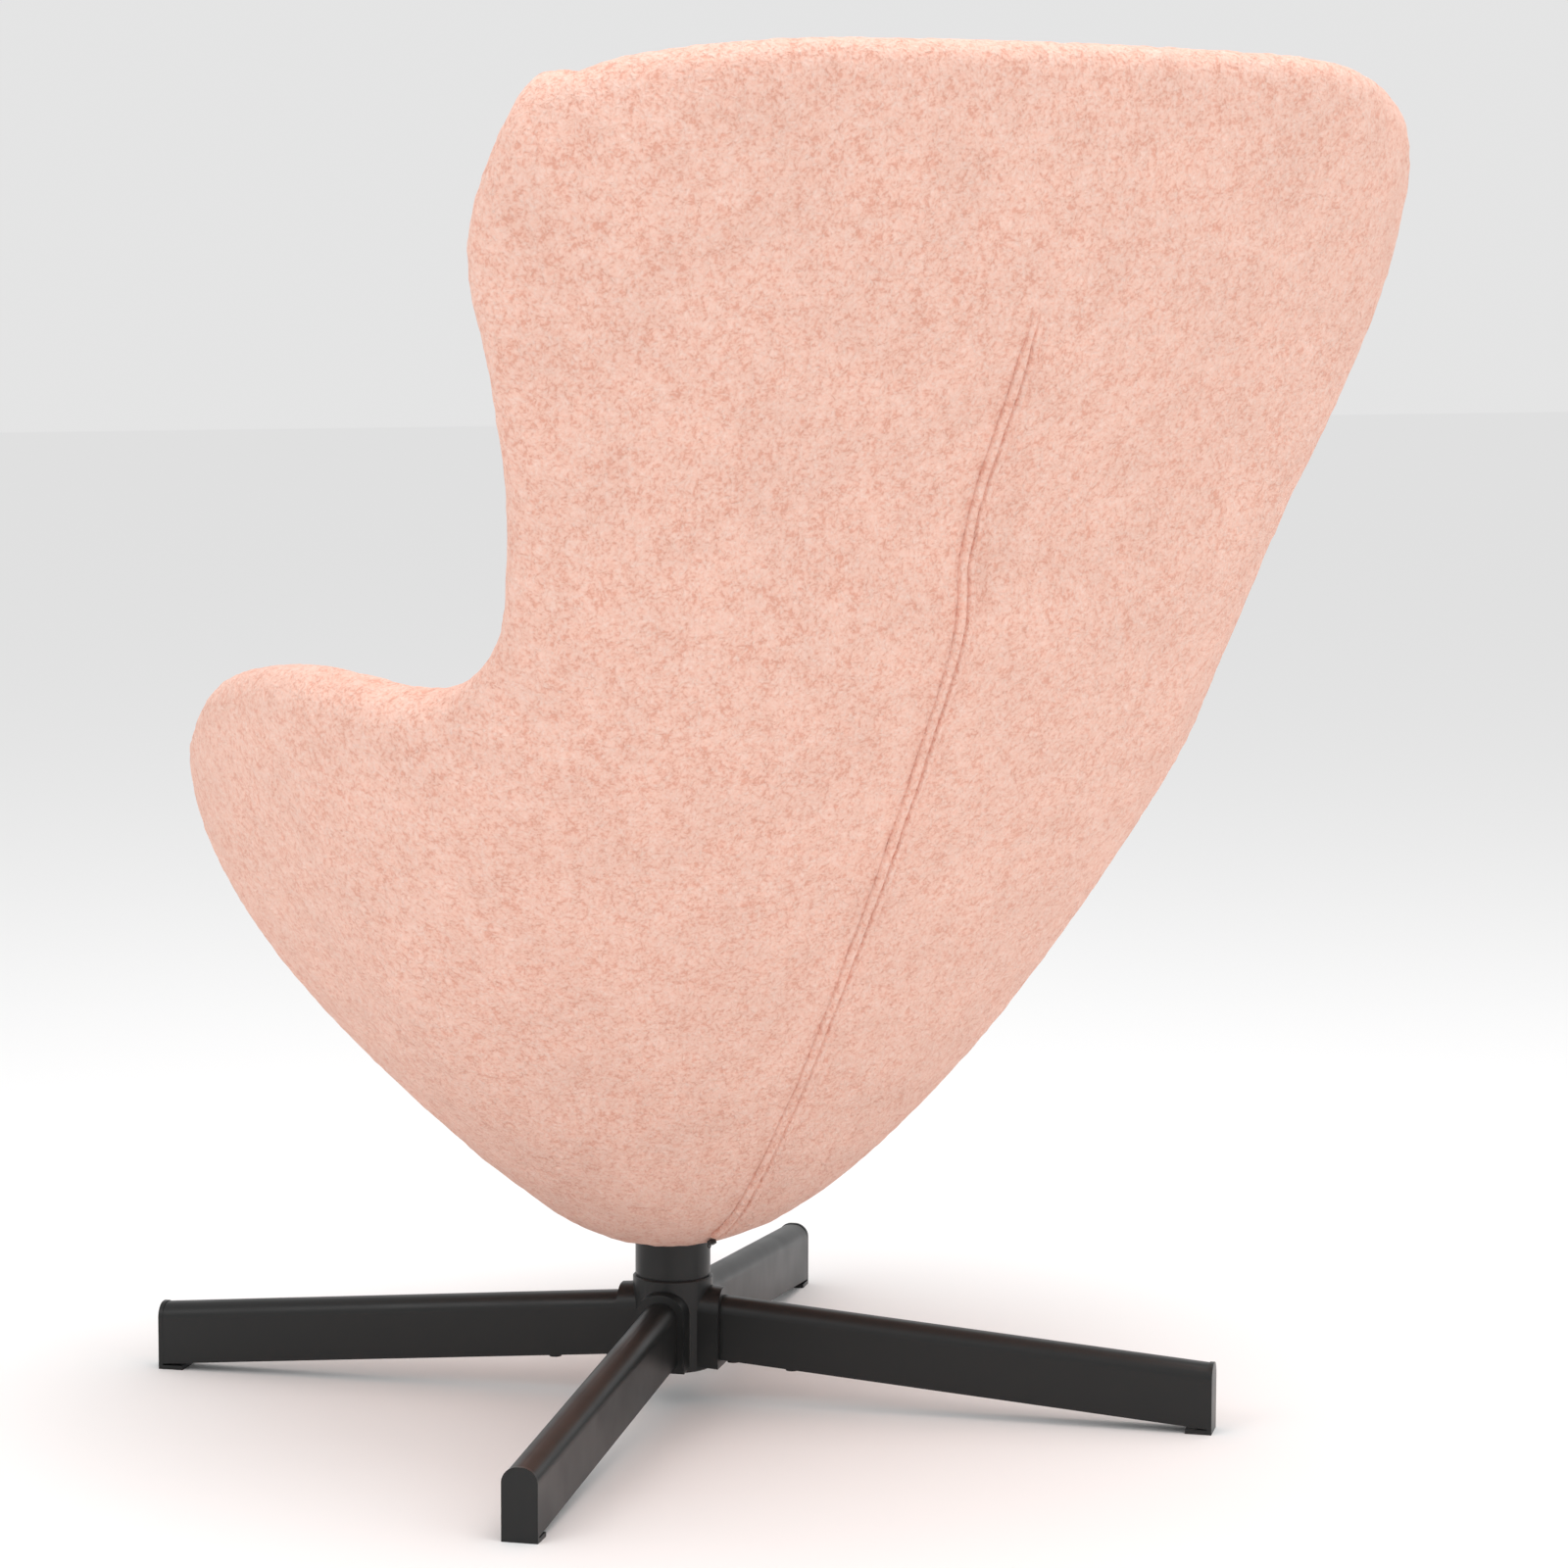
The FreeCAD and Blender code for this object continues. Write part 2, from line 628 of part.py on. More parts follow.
def loft(wires, straight=False):
    """Solid through closed sections, smooth or with straight stretches."""
    return Part.makeLoft(wires, True, straight)


def rib_rows():
    """Numbers of each rib from front to crown, with the spine counted from the base both ways."""
    names = list(RIBS)
    base = names.index("base")
    spine = {"base": (size("base_run"), size(f"{PLATE_FOOT} + base_rise"))}
    for chain in (names[base::-1], names[base:]):
        for before, name in zip(chain, chain[1:]):
            y, z = spine[before]
            spine[name] = (y + size(f"{name}_run"), z + size(f"{name}_rise"))
    rows = []
    for name in names:
        y, z = spine[name]
        rows.append((y, z, size(f"{name}_half_width"), y + size(f"{name}_rim_run"),
                     z + size(f"{name}_rim_rise"), size(f"{name}_lip"), size(f"{name}_balance")))
    return rows


def mixed(first, second, share):
    """Row of numbers part of the way from one row to another."""
    return [a + (b - a) * share for a, b in zip(first, second)]


def make_ribs():
    """Ribs from the front edge to the crown, with faired ribs added between those of the sheet."""
    rows = rib_rows()
    gaps = [(math.dist(a[:2], b[:2]) + math.dist(a[2:5], b[2:5])) / 2 for a, b in zip(rows, rows[1:])]
    rates = [[(y - x) / gap for x, y in zip(a, b)] for a, b, gap in zip(rows, rows[1:], gaps)]
    slopes = [mixed(low, high, gap / (gap + ahead))
              for low, high, gap, ahead in zip(rates, rates[1:], gaps, gaps[1:])]
    slopes = [mixed(slopes[0], rates[0], 2)] + slopes + [mixed(slopes[-1], rates[-1], 2)]
    ribs = []
    for index, gap in enumerate(gaps):
        for step in range(RIBS_PER_GAP):
            share = step / RIBS_PER_GAP
            curve = [x + gap * share * (1 - share) * ((1 - share) * v - share * w)
                     for x, v, w in zip(mixed(rows[index], rows[index + 1], share * share * (3 - 2 * share)),
                                        slopes[index], slopes[index + 1])]
            ribs.append(Rib(*curve))
    ribs.append(Rib(*rows[-1]))
    return ribs


def end_roll(before, rib):
    """Round padded edge that leads on beyond the first or the last rib."""
    rib.lead_on(before)
    wall = size("wall_depth")
    wires = []
    for angle in ROLL_ANGLES:
        inset = wall / 2 * (1 - math.cos(math.radians(angle)))
        shift = wall / 2 * math.sin(math.radians(angle))
        wires.append(wall_wire(rib, inset, wall - inset, True, shift))
    return loft(wires)


def below(height):
    """Block of space under a height, wide enough for the whole pod."""
    reach = size("leg_reach + base_half_width")
    return Part.makeBox(2 * reach, 2 * reach, height + reach, V(-reach, -reach, -reach))


def make_pod(ribs):
    """Cover and edge rolls, shell, lining, mounting block and foam deck."""
    wall, skin = size("wall_depth"), size("cover_thickness")
    core = skin + size("shell_thickness")
    plate_foot = size(PLATE_FOOT)
    bore = cylinder(size("column_radius"), 0, plate_foot)
    loose_bore = cylinder(size("column_radius + base_clearance"), 0, plate_foot)
    cover = loft([cover_wire(rib, wall, skin) for rib in ribs])
    new_form("outer_cover", cover.cut(loose_bore))
    new_form("front_edge_roll", end_roll(ribs[1], ribs[0]))
    new_form("crown_edge_roll", end_roll(ribs[-2], ribs[-1]))
    clearance = size("layer_clearance")
    gap = size("rim_clearance")
    short_ribs = [rib.drawn_back(gap) for rib in ribs]
    retreat = [-gap] + [0] * (len(ribs) - 2) + [-gap]
    shell = loft([wall_wire(rib, skin + clearance, core, False, shift)
                  for rib, shift in zip(short_ribs, retreat)])
    new_form("pod_shell", shell.cut(bore))
    deck_foot = size(f"{PLATE_TOP} + plate_bolt_head + base_clearance")
    lining = loft([wall_wire(rib, core + clearance, wall, False, shift)
                   for rib, shift in zip(short_ribs, retreat)])
    new_form("inner_padding", lining.cut(below(deck_foot)))
    block = loft([bowl_wire(rib, core + clearance) for rib in ribs]).common(below(plate_foot))
    for hole in around(cylinder(size("plate_bolt_radius"), 0, plate_foot,
                                size("plate_bolt_circle")), plate_turns()):
        block = block.cut(hole)
    tip = size(f"{PLATE_TOP} - plate_bolt_length")
    for pocket in around(cylinder(size("insert_radius"), tip, tip + size("insert_length"),
                                  size("plate_bolt_circle")), plate_turns()):
        block = block.cut(pocket)
    new_form("mounting_block", block.cut(bore))
    deck = loft([bowl_wire(rib, wall + size("base_clearance")) for rib in ribs])
    new_form("seat_foam", deck.common(below(plate_foot + size("deck_rise"))).cut(below(deck_foot)))
    return cover


def oval_wire(height, inset):
    """Plan of the cushion at a height, drawn in by an inset: four sides and four round corners."""
    corner = size("cushion_corner") - inset
    across = size("cushion_half_width") - inset - corner
    front, back = inset + corner - size("cushion_front"), size("cushion_back") - inset - corner
    arcs = []
    for turn, x, y in ((0, across, back), (90, -across, back), (180, -across, front), (270, across, front)):
        angles = [math.radians(turn + step) for step in (0, 45, 90)]
        arcs.append([V(x + corner * math.cos(a), y + corner * math.sin(a), height) for a in angles])
    edges = []
    for before, arc in zip(arcs[-1:] + arcs[:-1], arcs):
        edges += [Part.LineSegment(before[-1], arc[0]).toShape(), Part.Arc(*arc).toShape()]
    return Part.Wire(edges)


def make_cushion(ribs):
    """Loose cushion: crowned top, drawn-in sides, and below them the shape of the bowl."""
    half = size("cushion_thickness") / 2
    centre = size(f"{PLATE_FOOT} + deck_rise + cushion_lift") + half
    wires = []
    for angle in CUSHION_ANGLES:
        pull = size("cushion_crown") if angle > 0 else size("cushion_edge")
        turn = math.radians(angle)
        wires.append(oval_wire(centre + half * math.sin(turn), pull * (1 - math.cos(turn))))
    bowl = loft([bowl_wire(rib, size("wall_depth + cushion_clearance")) for rib in ribs])
    new_form("seat_cushion", bowl.common(loft(wires)))


def spine_edge(cover):
    """Edge of the pod's outside that runs along the middle of the back."""
    middle = [edge for edge in cover.Edges if edge.Length > size("seam_rise")
              and all(abs(point.x) < size("seam_groove") for point in edge.discretize(Number=5))]
    return max(middle, key=lambda edge: edge.BoundBox.YMax)


def seam_path(cover):
    """Places and outward directions of the seam, evenly spaced up the back."""
    points = spine_edge(cover).discretize(Number=SPINE_SAMPLES)
    if points[0].y > points[-1].y:
        points.reverse()
    chosen = [index for index, point in enumerate(points)
              if point.y > size("seam_start") and point.z < size(f"{PLATE_FOOT} + seam_rise")]
    path = []
    for index in chosen:
        along = (points[index + 1] - points[index - 1]).normalize()
        path.append((points[index], V(0, along.z, -along.y)))
    return path


def lip_wire(place, outward, side, share):
    """Section of one seam lip: flat on the cover, with a round back; share tapers its ends."""
    foot = place + outward * size("seam_clearance")
    near = foot + V(side * size("seam_groove") / 2, 0, 0)
    far = near + V(side * size("seam_lip") * share, 0, 0)
    middle, half = (near + far) * 0.5, (far - near) * 0.5
    rise = outward * (size("seam_height") * share)
    shoulder = math.sqrt(0.5)
    low, high = (middle - half * shoulder + rise * shoulder, middle + half * shoulder + rise * shoulder)
    return Part.Wire([Part.LineSegment(near, far).toShape(), Part.Arc(far, high, middle + rise).toShape(),
                      Part.Arc(middle + rise, low, near).toShape()])


def make_seam(cover):
    """Two raised lips of the closing seam, and the slider at its lower end."""
    path = seam_path(cover)
    lips = []
    for side in (1, -1):
        shares = [min(1.0, 0.4 + 0.3 * min(index, len(path) - 1 - index)) for index in range(len(path))]
        wires = [lip_wire(*spot, side, share) for spot, share in zip(path, shares)]
        lips.append(loft(wires, straight=True))
    new_form("rear_seam", Part.makeCompound(lips))
    make_slider(*path[0])


def make_slider(place, outward):
    """Zip slider at the lower end of the seam, with its small hanging loop."""
    width, length, height = size("slider_width"), size("slider_length"), size("slider_height")
    along = V(0, outward.z, -outward.y)
    turn = FreeCAD.Rotation(V(1, 0, 0), along, outward, "ZXY")
    clearance = size("seam_clearance")
    block = Part.makeBox(width, length, height, V(-width / 2, 0, clearance))
    radius, wire = size("pull_radius"), size("pull_wire")
    hang = V(0, length + radius - wire / 2, clearance + radius + wire)
    loop = Part.makeTorus(radius, wire, hang, V(1, 0, 0))
    slider = block.fuse(loop)
    home = FreeCAD.Placement(place + along * size("seam_groove"), turn)
    new_form("zip_slider", Part.makeCompound([slider.transformed(home.toMatrix(), True)]))


# Build, check and export

fill_sheet()
make_hub()
for quarter, leg_name in enumerate(LEG_NAMES):
    make_leg(leg_name, QUARTER * quarter)
    make_foot_cap(leg_name, QUARTER * quarter)
make_leg_screws()
make_spindle()
make_bearings()
make_column()
make_plate_fasteners()
pod_ribs = make_ribs()
pod_cover = make_pod(pod_ribs)
make_cushion(pod_ribs)
make_seam(pod_cover)
doc.recompute()

failed = [item.Name for item in doc.Objects if {"Invalid", "Error"} & set(item.State)]
broken = [piece.Name for piece in parts if piece.Shape.isNull() or not piece.Shape.isValid()
          or not piece.Shape.Solids]
if failed or broken:
    raise RuntimeError(f"not built: {failed}, broken shapes: {broken}")

os.makedirs("parts", exist_ok=True)
for piece in parts:
    piece.Shape.exportStep(os.path.join("parts", f"{piece.Label}.step"))
    box = piece.Shape.BoundBox
    print(f"{piece.Label}: {len(piece.Shape.Solids)} solid(s), {piece.Shape.Volume / 1000:.1f} cm3, "
          f"{box.XLength:.1f} x {box.YLength:.1f} x {box.ZLength:.1f} mm, z {box.ZMin:.1f} to {box.ZMax:.1f}")
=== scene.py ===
import json
import logging
import math
from collections.abc import Callable, Iterable, Sequence
from dataclasses import dataclass, field
from enum import Enum

import bmesh
import bpy
from mathutils import Euler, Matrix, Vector, noise


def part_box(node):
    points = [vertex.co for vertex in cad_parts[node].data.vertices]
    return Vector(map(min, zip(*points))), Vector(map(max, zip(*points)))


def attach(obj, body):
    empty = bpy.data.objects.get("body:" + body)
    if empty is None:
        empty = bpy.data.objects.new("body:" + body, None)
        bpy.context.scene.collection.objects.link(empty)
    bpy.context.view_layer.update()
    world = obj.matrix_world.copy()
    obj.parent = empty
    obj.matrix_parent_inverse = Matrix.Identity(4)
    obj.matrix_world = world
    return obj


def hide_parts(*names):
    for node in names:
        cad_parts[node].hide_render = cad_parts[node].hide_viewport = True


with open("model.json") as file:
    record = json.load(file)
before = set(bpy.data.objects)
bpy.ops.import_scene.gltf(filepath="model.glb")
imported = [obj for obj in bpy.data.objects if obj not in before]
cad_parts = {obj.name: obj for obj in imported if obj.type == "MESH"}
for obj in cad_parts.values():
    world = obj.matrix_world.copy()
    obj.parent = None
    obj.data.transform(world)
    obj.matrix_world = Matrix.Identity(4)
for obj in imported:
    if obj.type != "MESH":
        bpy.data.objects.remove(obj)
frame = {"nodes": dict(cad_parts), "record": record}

log = logging.getLogger("pod_chair")

# The chair faces -Y and stands on z = 0 with its swivel axis on x = y = 0. Sizes are in metres.

MM = 0.001
WELD = 0.02 * MM


def rgb(code: str) -> tuple[float, float, float, float]:
    """Turn an sRGB hex colour into linear values.

    Args:
        code: six hex digits, red first.

    Returns:
        Linear red, green, blue and an alpha of 1.
    """
    # These numbers are the sRGB transfer curve.
    parts = [int(code[index:index + 2], 16) / 255 for index in (0, 2, 4)]
    return (*(c / 12.92 if c <= 0.04045 else ((c + 0.055) / 1.055) ** 2.4 for c in parts), 1.0)


def add_node(tree: bpy.types.NodeTree, kind: str, inputs: dict[str, object] | None = None,
             **settings: object) -> bpy.types.Node:
    """Add one node with its settings, constants and links.

    Args:
        tree: node tree that gets the node.
        kind: the node's type name.
        inputs: input name or number to a constant, or to an output socket to link.
        settings: properties of the node itself.

    Returns:
        The new node.
    """
    node = tree.nodes.new(kind)
    for name, value in settings.items():
        setattr(node, name, value)
    for name, value in (inputs or {}).items():
        socket = node.inputs[name]
        if isinstance(value, bpy.types.NodeSocket):
            tree.links.new(value, socket)
        else:
            socket.default_value = value
    return node


def new_material(name: str) -> tuple[bpy.types.Material, bpy.types.NodeTree]:
    """Make an empty node material.

    Args:
        name: name of the finish.

    Returns:
        The material and its node tree.
    """
    material = bpy.data.materials.new(name)
    material.use_nodes = True
    material.node_tree.nodes.clear()
    return material, material.node_tree


def set_ramp(node: bpy.types.Node, stops: Sequence[tuple[float, str]]) -> bpy.types.Node:
    """Give a colour ramp its stops.

    Args:
        node: the ColorRamp node.
        stops: position and hex colour of each stop, in rising order.

    Returns:
        The same node.
    """
    elements = node.color_ramp.elements
    while len(elements) < len(stops):
        elements.new(0.5)
    for element, (position, code) in zip(elements, stops):
        element.position = position
        element.color = rgb(code)
    return node


def finish_surface(tree: bpy.types.NodeTree, height: bpy.types.NodeSocket, depth: float,
                   strength: float, inputs: dict[str, object]) -> None:
    """Close a material with a bump and the shader.

    Args:
        tree: the material's nodes.
        height: output that carries the relief from 0 to 1.
        depth: real height of the relief in metres.
        strength: share of that relief that shows.
        inputs: values and links of the shader.
    """
    bump = add_node(tree, "ShaderNodeBump",
                    {"Height": height, "Distance": depth, "Strength": strength})
    shader = add_node(tree, "ShaderNodeBsdfPrincipled", dict(inputs, Normal=bump.outputs["Normal"]))
    add_node(tree, "ShaderNodeOutputMaterial", {"Surface": shader.outputs["BSDF"]})


# Finishes

@dataclass(frozen=True)
class TeddyFabric:
    """Looped teddy fabric in polyester, knitted and brushed: soft matt curls with deeper gaps.

    Its fibres are far finer than a render shows, so they are drawn as wide as half a curl.
    """

    # Shade ramp: light is painted light on the curl tops, gap is painted shade in the gaps between
    # the curls, and mid lies between them.
    light: str = "FBD6C8"
    mid: str = "F6C6B4"
    gap: str = "E9AC98"
    mid_stop: float = 0.38
    curl: float = 3.6 * MM
    curl_softness: float = 0.6
    fibre: float = 1.8 * MM
    curls_per_clump: float = 3
    patch: float = 45 * MM
    curls_per_warp: float = 2.2
    warp_reach: float = 1.3
    curl_share: float = 0.42
    fibre_share: float = 0.85
    clump_share: float = 0.5
    # Heights that the shade ramp spans, from the painted shade in the gaps to the painted light on
    # the curl tops.
    shade_heights: tuple[float, float] = (0.68, 1.16)
    drift: tuple[float, float] = (0.965, 1.03)
    relief: float = 2.8 * MM
    relief_share: float = 0.8
    roughness: float = 0.95
    specular: float = 0.12
    sheen: float = 0.3
    sheen_roughness: float = 0.6
    sheen_tint: str = "FFE3D6"

    def warped(self, tree: bpy.types.NodeTree,
               place: bpy.types.NodeSocket) -> bpy.types.NodeSocket:
        """Bend the pattern slowly, which keeps the curls from standing in rows.

        Args:
            tree: the material's nodes.
            place: output with the place on the piece.

        Returns:
            The output with the bent place.
        """
        warp = add_node(tree, "ShaderNodeTexNoise", {
            "Vector": place, "Scale": 1 / (self.curl * self.curls_per_warp), "Detail": 1.0})
        shift = add_node(tree, "ShaderNodeVectorMath",
                         {0: warp.outputs["Color"], 1: (0.5, 0.5, 0.5)}, operation="SUBTRACT")
        push = add_node(tree, "ShaderNodeVectorMath",
                        {0: shift.outputs[0], "Scale": self.curl * self.warp_reach},
                        operation="SCALE")
        return add_node(tree, "ShaderNodeVectorMath", {0: place, 1: push.outputs[0]},
                        operation="ADD").outputs[0]

    def build(self, name: str) -> bpy.types.Material:
        """Make the fabric's material.

        Args:
            name: name of the piece of cloth it is for.

        Returns:
            The material.
        """
        material, tree = new_material(name)
        place = add_node(tree, "ShaderNodeTexCoord").outputs["Object"]
        bent = self.warped(tree, place)
        curls = add_node(tree, "ShaderNodeTexVoronoi",
                         {"Vector": bent, "Scale": 1 / self.curl, "Smoothness": self.curl_softness},
                         feature="SMOOTH_F1")
        fibres = add_node(tree, "ShaderNodeTexNoise",
                          {"Vector": bent, "Scale": 1 / self.fibre, "Detail": 3.0})
        clumps = add_node(tree, "ShaderNodeTexNoise", {
            "Vector": place, "Scale": 1 / (self.curl * self.curls_per_clump), "Detail": 2.0})
        patches = add_node(tree, "ShaderNodeTexNoise",
                           {"Vector": place, "Scale": 1 / self.patch, "Detail": 2.0})
        # Each curl is a dome, and fibres and clumps are laid over it.
        height = self.curl_share
        for pattern, share in ((curls.outputs["Distance"], -self.curl_share),
                               (fibres.outputs["Fac"], self.fibre_share),
                               (clumps.outputs["Fac"], self.clump_share)):
            height = add_node(tree, "ShaderNodeMath", {0: pattern, 1: share, 2: height},
                              operation="MULTIPLY_ADD").outputs[0]
        # The relief also sets the colour: painted shade low in the gaps between the curls, painted
        # light on the curl tops.
        shade_tone = add_node(tree, "ShaderNodeMapRange", {
            "Value": height, "From Min": self.shade_heights[0], "From Max": self.shade_heights[1]})
        ramp = set_ramp(add_node(tree, "ShaderNodeValToRGB", {"Fac": shade_tone.outputs["Result"]}),
                        ((0.0, self.gap), (self.mid_stop, self.mid), (1.0, self.light)))
        drift = add_node(tree, "ShaderNodeMapRange", {
            "Value": patches.outputs["Fac"], "From Min": 0.3, "From Max": 0.7,
            "To Min": self.drift[0], "To Max": self.drift[1]})
        colour = add_node(tree, "ShaderNodeVectorMath",
                          {0: ramp.outputs["Color"], "Scale": drift.outputs["Result"]},
                          operation="SCALE")
        finish_surface(tree, height, self.relief, self.relief_share, {
            "Base Color": colour.outputs[0], "Roughness": self.roughness,
            "Specular IOR Level": self.specular, "Sheen Weight": self.sheen,
            "Sheen Roughness": self.sheen_roughness, "Sheen Tint": rgb(self.sheen_tint)})
        return material


@dataclass(frozen=True)
class PowderCoat:
    """Satin powder coat baked on steel: near-black, with a faint orange peel and cloudy gloss."""

    colour: str = "1B1C1C"
    peel: float = 1.4 * MM
    peels_per_cloud: float = 40
    relief: float = 0.02 * MM
    relief_share: float = 0.6
    roughness: tuple[float, float] = (0.32, 0.41)
    ior: float = 1.4

    def build(self, name: str) -> bpy.types.Material:
        """Make the coat's material.

        Args:
            name: name of the coated part.

        Returns:
            The material.
        """
        material, tree = new_material(name)
        place = add_node(tree, "ShaderNodeTexCoord").outputs["Object"]
        peel = add_node(tree, "ShaderNodeTexNoise",
                        {"Vector": place, "Scale": 1 / self.peel, "Detail": 1.0})
        cloud = add_node(tree, "ShaderNodeTexNoise", {
            "Vector": place, "Scale": 1 / (self.peel * self.peels_per_cloud), "Detail": 2.0})
        gloss = add_node(tree, "ShaderNodeMapRange", {
            "Value": cloud.outputs["Fac"], "From Min": 0.3, "From Max": 0.7,
            "To Min": self.roughness[0], "To Max": self.roughness[1]})
        finish_surface(tree, peel.outputs["Fac"], self.relief, self.relief_share, {
            "Base Color": rgb(self.colour), "Roughness": gloss.outputs["Result"],
            "IOR": self.ior})
        return material


@dataclass(frozen=True)
class WorkedMetal:
    """Turned, rolled or plated metal, with tool marks that make its gloss uneven.

    The marks of a lathe are finer than a render shows, so they are drawn coarser.
    """

    colour: str = "A9A9A6"
    mark: float = 0.9 * MM
    stretch: float = 12.0
    relief: float = 0.02 * MM
    relief_share: float = 0.5
    roughness: float = 0.34
    unevenness: float = 0.1
    metallic: float = 1.0

    def build(self, name: str) -> bpy.types.Material:
        """Make the metal's material.

        Args:
            name: name of the metal part.

        Returns:
            The material.
        """
        material, tree = new_material(name)
        place = add_node(tree, "ShaderNodeTexCoord").outputs["Object"]
        along = add_node(tree, "ShaderNodeMapping",
                         {"Vector": place, "Scale": (1.0, 1.0, self.stretch)})
        marks = add_node(tree, "ShaderNodeTexNoise", {
            "Vector": along.outputs[0], "Scale": 1 / (self.mark * self.stretch), "Detail": 3.0})
        gloss = add_node(tree, "ShaderNodeMapRange", {
            "Value": marks.outputs["Fac"], "To Min": self.roughness - self.unevenness,
            "To Max": self.roughness + self.unevenness})
        finish_surface(tree, marks.outputs["Fac"], self.relief, self.relief_share, {
            "Base Color": rgb(self.colour), "Roughness": gloss.outputs["Result"],
            "Metallic": self.metallic})
        return material


@dataclass(frozen=True)
class MouldedStock:
    """Plastic, foam or board that is hidden in the chair: grain or cells over a plain colour."""

    dark: str = "0E0E0E"
    light: str = "151515"
    grain: float = 0.8 * MM
    stretch: tuple[float, float, float] = (1.0, 1.0, 1.0)
    relief: float = 0.05 * MM
    relief_share: float = 0.6
    ramp: tuple[float, float] = (0.35, 0.65)
    roughness: float = 0.5

    def build(self, name: str) -> bpy.types.Material:
        """Make the stock's material.

        Args:
            name: name of the stock.

        Returns:
            The material.
        """
        material, tree = new_material(name)
        place = add_node(tree, "ShaderNodeTexCoord").outputs["Object"]
        along = add_node(tree, "ShaderNodeMapping", {"Vector": place, "Scale": self.stretch})
        grain = add_node(tree, "ShaderNodeTexNoise",
                         {"Vector": along.outputs[0], "Scale": 1 / self.grain, "Detail": 3.0})
        ramp = set_ramp(add_node(tree, "ShaderNodeValToRGB", {"Fac": grain.outputs["Fac"]}),
                        ((self.ramp[0], self.dark), (self.ramp[1], self.light)))
        finish_surface(tree, grain.outputs["Fac"], self.relief, self.relief_share, {
            "Base Color": ramp.outputs["Color"], "Roughness": self.roughness})
        return material


class Finish(Enum):
    """Finishes of the CAD nodes, by the record's material slots."""

    base_metal = PowderCoat()
    steel = WorkedMetal()
    fastener_steel = WorkedMetal(colour="3A3A3B", roughness=0.42)
    bearing_plastic = MouldedStock()
    moulded_shell = MouldedStock(dark="A39C8B", light="B3AD9D", grain=2.5 * MM)
    plywood = MouldedStock(dark="B58D5F", light="D2AC7C", grain=2.2 * MM,
                           stretch=(0.12, 1.0, 1.0), roughness=0.7)
    foam = MouldedStock(dark="CFC6AE", light="E4DCC6", grain=1.5 * MM, relief=0.4 * MM,
                        roughness=0.95)
    zip_metal = WorkedMetal(colour="1C1C1C", roughness=0.3, metallic=0.0)
    fabric = TeddyFabric()


# Mesh helpers

def make_object(name: str, mesh: bmesh.types.BMesh,
                material: bpy.types.Material) -> bpy.types.Object:
    """Turn a finished bmesh into a smooth object at the origin.

    Args:
        name: name of the piece.
        mesh: its mesh, in the chair's frame; it is freed here.
        material: its finish.

    Returns:
        The new object, linked to the scene.
    """
    bmesh.ops.recalc_face_normals(mesh, faces=mesh.faces)
    data = bpy.data.meshes.new(name)
    mesh.to_mesh(data)
    mesh.free()
    data.materials.append(material)
    data.shade_smooth()
    piece = bpy.data.objects.new(name, data)
    bpy.context.scene.collection.objects.link(piece)
    return piece


def moulded_sheet(columns: int, rows: int,
                  shape: Callable[[int, int], Vector]) -> bmesh.types.BMesh:
    """Bend a grid into a closed form and weld where its edges meet.

    Args:
        columns: number of faces round the form.
        rows: number of faces along it.
        shape: place of the vertex at a column and a row.

    Returns:
        The welded bmesh.
    """
    mesh = bmesh.new()
    bmesh.ops.create_grid(mesh, x_segments=columns, y_segments=rows, size=1.0)
    for vertex in mesh.verts:
        column = round((vertex.co.x + 1) / 2 * columns)
        row = round((vertex.co.y + 1) / 2 * rows)
        vertex.co = shape(column, row)
    bmesh.ops.remove_doubles(mesh, verts=mesh.verts, dist=WELD)
    return mesh


def live_modifier(piece: bpy.types.Object, kind: str, **settings: object) -> bpy.types.Modifier:
    """Add a modifier with its settings.

    Args:
        piece: object that gets it.
        kind: the modifier's type.
        settings: its properties.

    Returns:
        The modifier.
    """
    modifier = piece.modifiers.new(kind.lower(), kind)
    for name, value in settings.items():
        setattr(modifier, name, value)
    return modifier


def bake_modifiers(piece: bpy.types.Object) -> None:
    """Replace a piece's mesh by its evaluated mesh, and drop its modifiers."""
    graph = bpy.context.evaluated_depsgraph_get()
    data = bpy.data.meshes.new_from_object(piece.evaluated_get(graph))
    piece.modifiers.clear()
    piece.data = data
    data.shade_smooth()


def ruffle(piece: bpy.types.Object, size: float, height: float) -> None:
    """Break up a fabric surface with the small heaps of its curls.

    Args:
        piece: fabric piece with its final mesh.
        size: width of a heap.
        height: how far the heaps stand proud or sink.
    """
    finer, aside = 2.1, Vector((7.0, 3.0, 5.0))
    normals = [vertex.normal.copy() for vertex in piece.data.vertices]
    for vertex, normal in zip(piece.data.vertices, normals):
        spot = vertex.co / size
        lift = noise.noise(spot) + 0.5 * noise.noise(spot * finer + aside)
        vertex.co += normal * (height * lift)


# Lines plan of the pod

